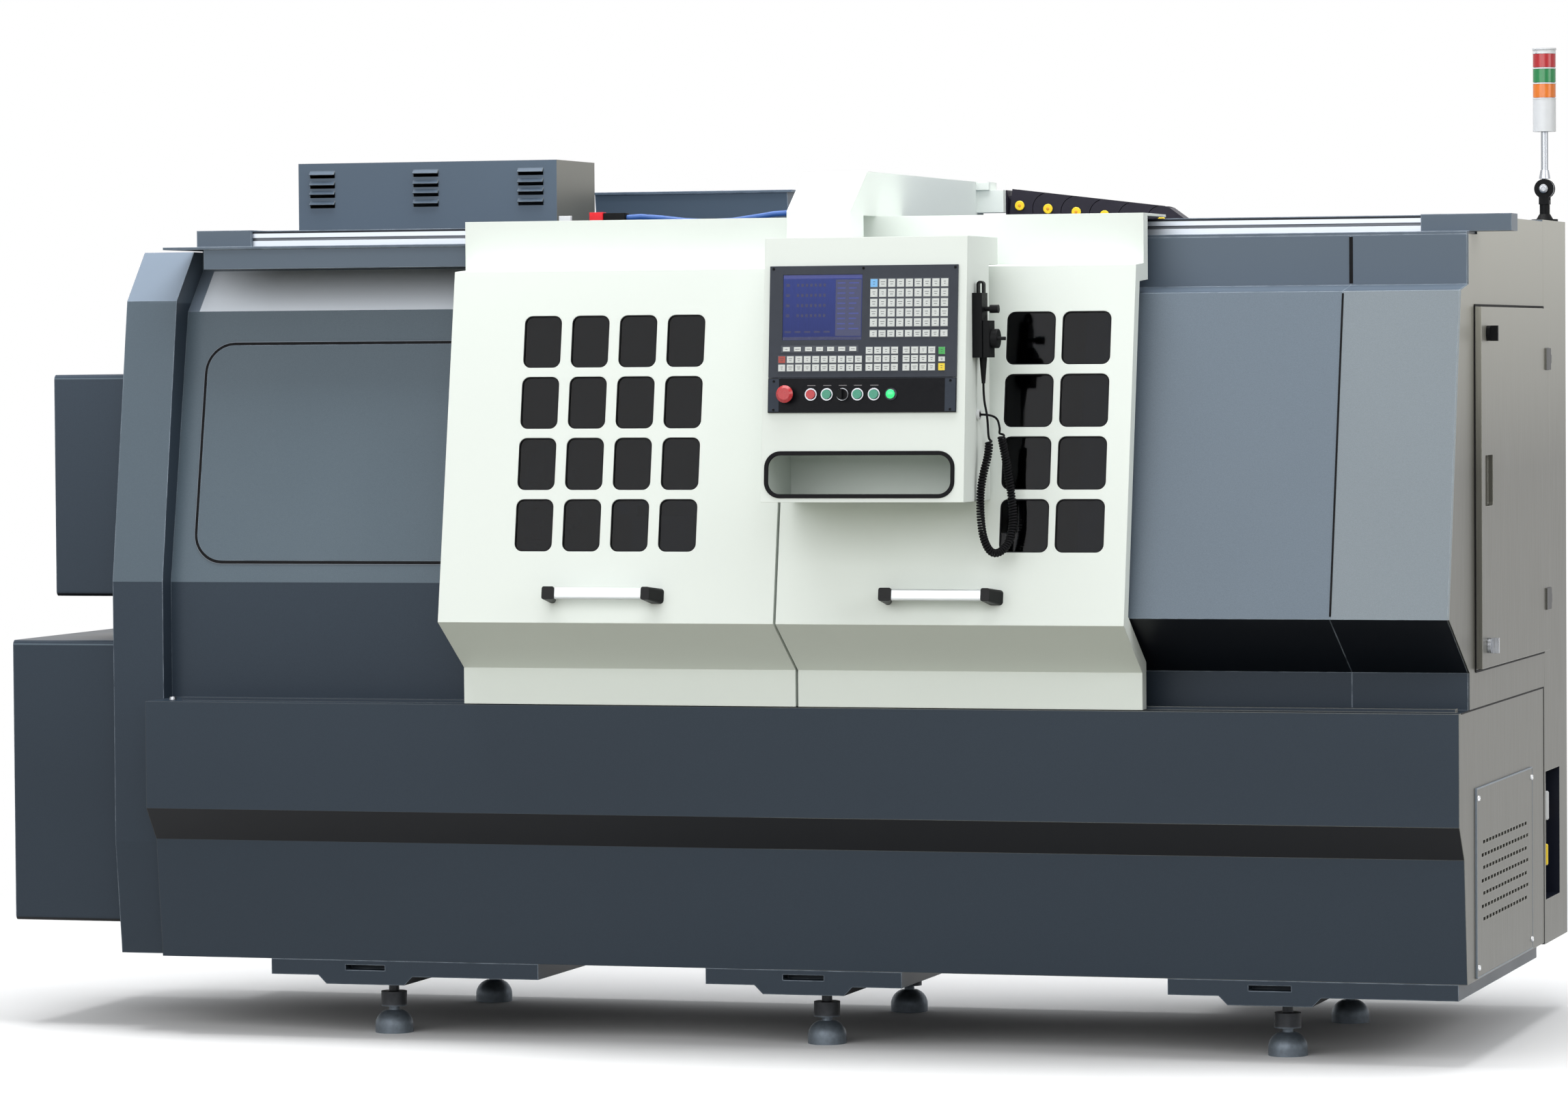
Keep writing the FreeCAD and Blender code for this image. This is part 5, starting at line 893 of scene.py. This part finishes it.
def screen():
    """The display, with a title strip, table lines, rows of small marks and soft-key boxes."""
    mesh = Mesh()
    edge, low = 0.3, PANEL_THICK - 2.0
    top = low + 0.5
    skin = top + 0.08
    strip(mesh, (SCREEN_X[0] + edge, SCREEN_X[1] - edge), (SCREEN_Z[0] + edge, SCREEN_Z[1] - edge), low, top)
    strip(mesh, (110.0, 287.0), (1733.5, 1741.0), top, skin, 1)
    strip(mesh, (110.0, 287.0), (1601.0, 1607.0), top, skin, 2)
    for left in range(113, 287, 29):
        strip(mesh, (left, left + 26.0), (1602.0, 1606.2), skin, skin + 0.05, 3)
    strip(mesh, (228.0, 286.0), (1609.0, 1731.0), top, skin, 2)
    for row in range(4):
        z = 1716.0 - row * 22.0
        strip(mesh, (116.0, 124.0), (z, z + 6.5), top, skin, 3)
        for left in range(140, 210, 10):
            strip(mesh, (left, left + 5.5), (z, z + 6.5), top, skin, 3)
    for row in range(10):
        z = 1722.0 - row * 11.0
        strip(mesh, (232.0, 250.0), (z, z + 3.0), skin, skin + 0.05, 1)
        strip(mesh, (258.0, 280.0 - (row % 3) * 5.0), (z, z + 3.0), skin, skin + 0.05, 1)
    for left in range(114, 224, 22):
        strip(mesh, (left, left + 14.0), (1616.0, 1620.0), top, skin, 3)
    mesh.done("screen", RIGHT_DOOR, "screen screen_head screen_side screen_ink")


screen()

KEY_TOP = PANEL_THICK + 2.0
KEY_FIELDS = {
    "letters": ((305.0, 483.0), (1626.0, 1733.0), 9, 5, 0.8),
    "menu": ((305.0, 483.0), (1604.0, 1622.0), 9, 1, 0.8),
    "soft": ((107.0, 282.0), (1573.0, 1588.0), 7, 1, 0.62),
    "modes": ((100.0, 292.0), (1531.0, 1567.0), 10, 2, 0.8),
    "axes": ((297.0, 373.0), (1531.0, 1586.0), 4, 3, 0.8),
    "rates": ((380.0, 456.0), (1531.0, 1586.0), 4, 3, 0.8),
    "start": ((461.0, 477.0), (1567.0, 1584.0), 1, 1, 0.9),
    "hold": ((461.0, 477.0), (1551.5, 1563.0), 1, 1, 0.9),
    "stop": ((461.0, 477.0), (1532.0, 1549.0), 1, 1, 0.9),
}
KEY_COLOURS = {("letters", 0, 4): 1, ("modes", 0, 1): 2, ("start", 0, 0): 3, ("stop", 0, 0): 4}


def key_cells(field):
    x_range, z_range, columns, rows, fill = KEY_FIELDS[field]
    heights = (panel_height(z_range[0]), panel_height(z_range[1]))
    pitch = ((x_range[1] - x_range[0]) / columns, (heights[1] - heights[0]) / rows)
    for column in range(columns):
        for row in range(rows):
            centre = (x_range[0] + (column + 0.5) * pitch[0], heights[0] + (row + 0.5) * pitch[1])
            yield (column, row), centre, (pitch[0] * fill / 2, pitch[1] * fill / 2)


def key_marks():
    """A small generic mark on each key, and coloured caps on the few keys that have one."""
    mesh = Mesh()
    for field in KEY_FIELDS:
        for (column, row), (x, height), (half_x, half_h) in key_cells(field):
            cap = KEY_COLOURS.get((field, column, row))
            top = KEY_TOP + 0.3 if cap else KEY_TOP
            if cap:
                outline = rounded_outline((x - half_x, height - half_h), (x + half_x, height + half_h), 1.2, 3)
                mesh.slab(PENDANT_FACE, outline, KEY_TOP, top, cap)
            pattern = (column * 7 + row * 3) % 4
            width = half_x * (0.34 + 0.1 * pattern)
            line = min(half_h * 0.2, 1.1)
            levels = (0.28, -0.3) if half_h > 5.0 else (0.0,)
            for level in levels:
                low = height + level * half_h - line / 2
                mesh.slab(PENDANT_FACE, rectangle((x - width, low), (x + width, low + line)), top, top + 0.06)
                width *= 0.7
    mesh.done("key_marks", RIGHT_DOOR, "dark_mark blue_mark red_mark green_mark yellow_mark")


key_marks()

SWITCH_Z = 1482.0
BEZEL_TOP = PANEL_THICK + 4.0
PILOT_X = 357.0
SWITCH_X = {"red": 177.0, "green_1": 213.0, "selector": 248.0, "green_2": 282.0, "green_3": 319.0}


def switch_panel():
    """The black switch plate's skin, its side ears, bezels, pilot lens and the marks over the buttons."""
    plate = Mesh()
    low, high = panel_height(1443.0), panel_height(1518.0)
    outer = rounded_outline((79.0, low), (502.0, high - 1.0), 2.0, 2)
    plate.slab(PENDANT_FACE, outer, PANEL_THICK, PANEL_THICK + 0.4)
    row = panel_height(SWITCH_Z)
    for x in SWITCH_X.values():
        outline = rectangle((x - 9.0, row + 19.0), (x + 9.0, row + 20.4))
        plate.slab(PENDANT_FACE, outline, PANEL_THICK + 0.4, PANEL_THICK + 0.5, 1)
    plate.done("switch_plate", RIGHT_DOOR, "switch grey_mark")
    bezels = Mesh()
    for x in [*SWITCH_X.values(), PILOT_X]:
        radius = 10.8 if x == PILOT_X else 13.6
        bezels.ring(
            PENDANT_FACE, circle_outline((x, row), radius, 36), circle_outline((x, row), 10.5, 36),
            PANEL_THICK + 0.3, BEZEL_TOP + 0.5,
        )
    bezels.done("switch_bezels", RIGHT_DOOR, "bezel", 0.7, 3)
    ears = Mesh()
    for left, right in ((80.0, 104.0), (477.0, 501.0)):
        strip(ears, (left, right), (1445.0, 1516.0), PANEL_THICK + 0.4, PANEL_THICK + 0.9)
    ears.done("switch_ears", RIGHT_DOOR, "ear")
    places = [(x, panel_height(z)) for x in (92.0, 489.0) for z in (1449.0, 1511.0)]
    places += [(x, panel_height(1755.0)) for x in (87.0, 290.0, 496.0)]
    screws("panel_screws", RIGHT_DOOR, PENDANT_FACE, places, 3.0, (PANEL_THICK, PANEL_THICK + 2.2), "black")
    pilot = Mesh()
    dome = [(10.0, 4.0), (8.5, 5.2), (5.0, 6.2), (1.0, 6.6)]
    pilot.turned(PENDANT_FACE, (PILOT_X, row), [(radius, BEZEL_TOP + rise) for radius, rise in dome])
    pilot.done("pilot_lens", RIGHT_DOOR, "pilot")


switch_panel()


# ---- drag chain ----

# The drag chain's near and far side in Y, where its first link starts in X, and how its links lie.
CHAIN_SIDES = (930.0, 990.0)
CHAIN_START_X = 283.0
CHAIN_PITCH = 69.0
CHAIN_DROOP = radians(7.0)
CHAIN_RUN_LINKS, CHAIN_LOOP_LINKS = 6, 3
CHAIN_BEND = (pi - CHAIN_DROOP) / CHAIN_LOOP_LINKS
LOOP_MIDDLE_Z = 1760.0


def chain_places():
    """The pins' centres (x, z): along the run, then round the loop."""
    x, z = CHAIN_START_X + CHAIN_PITCH / 2, 1916.0
    places = [(x, z)]
    ways = [-CHAIN_DROOP] * (CHAIN_RUN_LINKS - 1)
    ways += [-CHAIN_DROOP - CHAIN_BEND * (index + 0.5) for index in range(CHAIN_LOOP_LINKS)]
    for way in ways:
        x, z = x + CHAIN_PITCH * cos(way), z + CHAIN_PITCH * sin(way)
        places.append((x, z))
    return places


def chain_islands(data):
    """The chain's mesh as one bmesh for the links above the loop's middle and one for those below it."""
    whole = bmesh.new()
    whole.from_mesh(data)
    todo, lower = set(whole.verts), set()
    while todo:
        island = [todo.pop()]
        for vert in island:
            nearby = {edge.other_vert(vert) for edge in vert.link_edges} & todo
            todo -= nearby
            island.extend(nearby)
        if sum(v.co.z for v in island) / len(island) < LOOP_MIDDLE_Z * MM:
            lower.update(v.index for v in island)
    parts = []
    for keep_lower in (False, True):
        part = whole.copy()
        part.verts.ensure_lookup_table()
        bmesh.ops.delete(part, geom=[v for v in part.verts if (v.index in lower) != keep_lower], context="VERTS")
        parts.append(part)
    whole.free()
    return parts


def drag_chain():
    """The links in an upper and a returning run, and pin caps."""
    places = chain_places()
    far = max(x for x, z in places) + 37.0
    near_end = places[-1][0] - CHAIN_PITCH * 1.4
    upper_span = (at(CHAIN_START_X, 960, 1900), at(2 * far - CHAIN_START_X, 960, 1900), RIGHT_DOOR, "machine")
    lower_span = (at(near_end, 960, 1730), at(2 * far - near_end, 960, 1730), "machine", RIGHT_DOOR)
    pieces = []
    for part, name in zip(chain_islands(frame["nodes"]["drag_chain"].data), ("drag_chain_run", "drag_chain_return")):
        pieces.append(Mesh(part).done(name, None, "chain", smooth=30.0))
    for pins, name in ((places[:-2], "chain_caps_run"), (places[-2:], "chain_caps_return")):
        mesh = Mesh()
        for side, way in ((CHAIN_SIDES[0] - 3.0, 1), (CHAIN_SIDES[1] + 3.0, -1)):
            face = Face((0, side, 0), (way, 0, 0), (0, 0, 1))
            for x, z in pins:
                mesh.turned(face, (x * way, z), [(11.4, -0.4), (11.4, 0.5), (10.4, 1.4), (4.6, 1.4)], 28, 0)
                mesh.turned(face, (x * way, z), [(4.4, 0.6), (4.4, 1.0), (3.2, 1.7)], 20, 1)
        pieces.append(mesh.done(name, None, "yellow orange", smooth=40.0))
    for piece, span in zip(pieces, (upper_span, lower_span, upper_span, lower_span)):
        start, end, first, second = span
        tuple(start)
        tuple(end)
        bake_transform(piece)
    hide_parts("drag_chain")


drag_chain()


# ---- handset's curly cord ----

# The route's points, from the strain relief down, through the curled stretch and up to the gland.
LEAD_DOWN = [(538.0, -250.0, 1504.0), (538.0, -250.0, 1470.0), (546.0, -250.0, 1436.0)]
COIL_START = (548.0, -250.0, 1396.0)
COIL_MIDDLE = [
    (550.6, -250.0, 1358.0), (534.5, -262.0, 1292.0), (531.5, -262.0, 1228.0), (534.0, -247.0, 1164.0),
    (549.0, -220.0, 1129.0), (575.0, -187.0, 1148.0), (584.0, -170.0, 1206.0), (576.0, -168.0, 1274.0),
    (567.0, -176.0, 1340.0),
]
COIL_END = (561.0, -203.0, 1408.0)
LEAD_UP = [(559.2, -211.0, 1428.0), (548.0, -243.0, 1436.6), (529.0, -243.0, 1436.6)]
CORD_ROUTE = LEAD_DOWN + [COIL_START] + COIL_MIDDLE + [COIL_END] + LEAD_UP
CORD_DIAMETER = 5.0 * MM
HELIX_RADIUS = 6.9 * MM
HELIX_PITCH = 6.2 * MM
POINTS_PER_TURN = 14


def nurbs_curve(name, points, bevel, resolution):
    data = bpy.data.curves.new(name, "CURVE")
    data.dimensions = "3D"
    spline = data.splines.new("NURBS")
    spline.points.add(len(points) - 1)
    for point, place in zip(spline.points, points):
        point.co = (*place, 1.0)
    spline.order_u = 3
    spline.use_endpoint_u = True
    spline.resolution_u = resolution
    data.bevel_depth = bevel
    data.bevel_resolution = 3
    data.use_fill_caps = bevel > 0
    return linked(name, data)


def read_line(points, resolution):
    """The points of the smooth line through the route, as the curve itself gives them."""
    guide = nurbs_curve("cord_guide", points, 0.0, resolution)
    bpy.context.view_layer.update()
    mesh = bpy.data.meshes.new_from_object(guide)
    line = [v.co.copy() for v in mesh.vertices]
    bpy.data.objects.remove(guide)
    bpy.data.meshes.remove(mesh)
    return line


def even_line(line, step):
    """The same line with points a fixed step apart."""
    result = [line[0]]
    carried = 0.0
    for a, b in zip(line, line[1:]):
        length = (b - a).length
        place = step - carried
        while place <= length:
            result.append(a.lerp(b, place / length))
            place += step
        carried = length - (place - step)
    return result


def curly_cord():
    """One curve: the leads, and between them a helix whose radius eases in and out."""
    line = read_line([at(*p) for p in CORD_ROUTE], 24)
    even = even_line(line, HELIX_PITCH / POINTS_PER_TURN)
    first, last = [
        min(range(len(even)), key=lambda i: (even[i] - at(*end)).length) for end in (COIL_START, COIL_END)
    ]
    ease = 4 * POINTS_PER_TURN
    angle = 0.0
    lead_step = 16
    points = [even[i] for i in range(0, max(1, first - lead_step // 2), lead_step)]
    side = Vector((0, 1, 0))
    for i in range(first, last + 1):
        way = (even[min(i + 1, len(even) - 1)] - even[i - 1]).normalized()
        side = (side - way * side.dot(way)).normalized()
        other = way.cross(side)
        eased = min(1.0, (i - first) / ease, (last - i) / ease)
        eased = eased * eased * (3.0 - 2.0 * eased)
        reach = HELIX_RADIUS * eased
        angle += 2 * pi / POINTS_PER_TURN * eased ** 4
        points.append(even[i] + (side * cos(angle) + other * sin(angle)) * reach)
    points += [even[i] for i in range(last + lead_step // 2, len(even) - lead_step // 2, lead_step)] + [line[-1]]
    cord = nurbs_curve("curly_cord", points, CORD_DIAMETER / 2, 2)
    cord.data.materials.append(MATERIALS["rubber"])
    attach(cord, "front_door_right")
    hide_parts("cord_lead_handset", "cord_coil", "cord_lead_pendant")
    measured = read_line(points, 3)
    length = sum((b - a).length for a, b in zip(measured, measured[1:]))
    tuple(line[0])
    return length


print("cord length in metres:", round(curly_cord(), 3))


# ---- floor, light and camera ----

def floor():
    """A pale floor that keeps the machine's shadow and runs out into plain white."""
    look = Shader("floor", Roughness=0.9, Specular_IOR_Level=0.0)
    pale = look.multiply((0.95, 0.95, 0.95, 1.0), look.vary(0.985, 1.0, 2.0, 3.0))
    shown = look.shown()
    look.coat(look.mix(shown, rgb(146, 145, 134), pale))
    away = look.vector("LENGTH", look.vector("MULTIPLY", look.place(), (1.0, 1.0, 0.0))[0])["Value"]
    far = look.times(look.spread(away, 2.2, 4.4), shown)
    white = look.node("Emission", {"Strength": 1.0}).outputs[0]
    both = look.node("MixShader", {0: far, 1: look.main.outputs[0], 2: white})
    look.show(both.outputs[0])
    mesh = Mesh()
    reach = 30000.0
    mesh.faces([[at(x, y, 0) for x in (-reach, reach)] for y in (-reach, reach)], False)
    MATERIALS["floor"] = look.material
    made = mesh.done("floor", None, "floor")


def world():
    """White where it is seen; as light, pale overhead and dim at the horizon."""
    made = bpy.data.worlds.new("studio")
    bpy.context.scene.world = made
    tree = Tree(made, "ShaderNodeOutputWorld")
    level = tree.spread(tree.split(tree.coordinates.outputs["Generated"])[2], -0.1, 0.6, 0.14, 0.62)
    ambient = tree.node("Background", {0: (0.96, 0.98, 1.0, 1.0), 1: level}).outputs[0]
    white = tree.node("Background", {0: (1.0, 1.0, 1.0, 1.0)}).outputs[0]
    tree.show(tree.node("MixShader", {0: tree.shown(), 1: ambient, 2: white}).outputs[0])


def softbox(name, place, target, size, power):
    data = bpy.data.lights.new(name, "AREA")
    data.shape = "RECTANGLE"
    data.size, data.size_y = size
    data.energy = power
    made = linked(name, data)
    made.location = place
    made.rotation_euler = (Vector(target) - Vector(place)).to_track_quat("-Z", "Y").to_euler()
    made.visible_camera = False


def camera():
    data = bpy.data.cameras.new("camera")
    focal_pixels, frame_width = 9001.8, 2296
    data.sensor_width = 36.0
    data.lens = focal_pixels / frame_width * data.sensor_width
    data.clip_end = 100.0
    yaw, pitch, roll = 0.2913, 0.0328, 0.0074
    ahead = Vector((-sin(yaw) * cos(pitch), cos(yaw) * cos(pitch), -sin(pitch)))
    right = Vector((cos(yaw), sin(yaw), 0.0))
    down = ahead.cross(right)
    across = right * cos(roll) + down * sin(roll)
    below = down * cos(roll) - right * sin(roll)
    turn = Matrix((across, -below, -ahead)).transposed().to_4x4()
    made = linked("camera", data)
    made.matrix_world = Matrix.Translation(at(3945.6, -13128.3, 1573.5)) @ turn
    bpy.context.scene.camera = made


floor()
world()
softbox("high_front", (-1.2, -9.2, 4.4), (0.0, 0.0, 1.2), (12.0, 5.0), 540.0)
softbox("overhead", (0.0, -0.6, 6.5), (0.0, 0.0, 1.0), (5.5, 3.5), 440.0)
softbox("right_side", (8.5, -2.5, 4.2), (1.6, 0.2, 1.2), (4.0, 4.0), 200.0)
camera()
bpy.context.scene.view_settings.view_transform = "Standard"
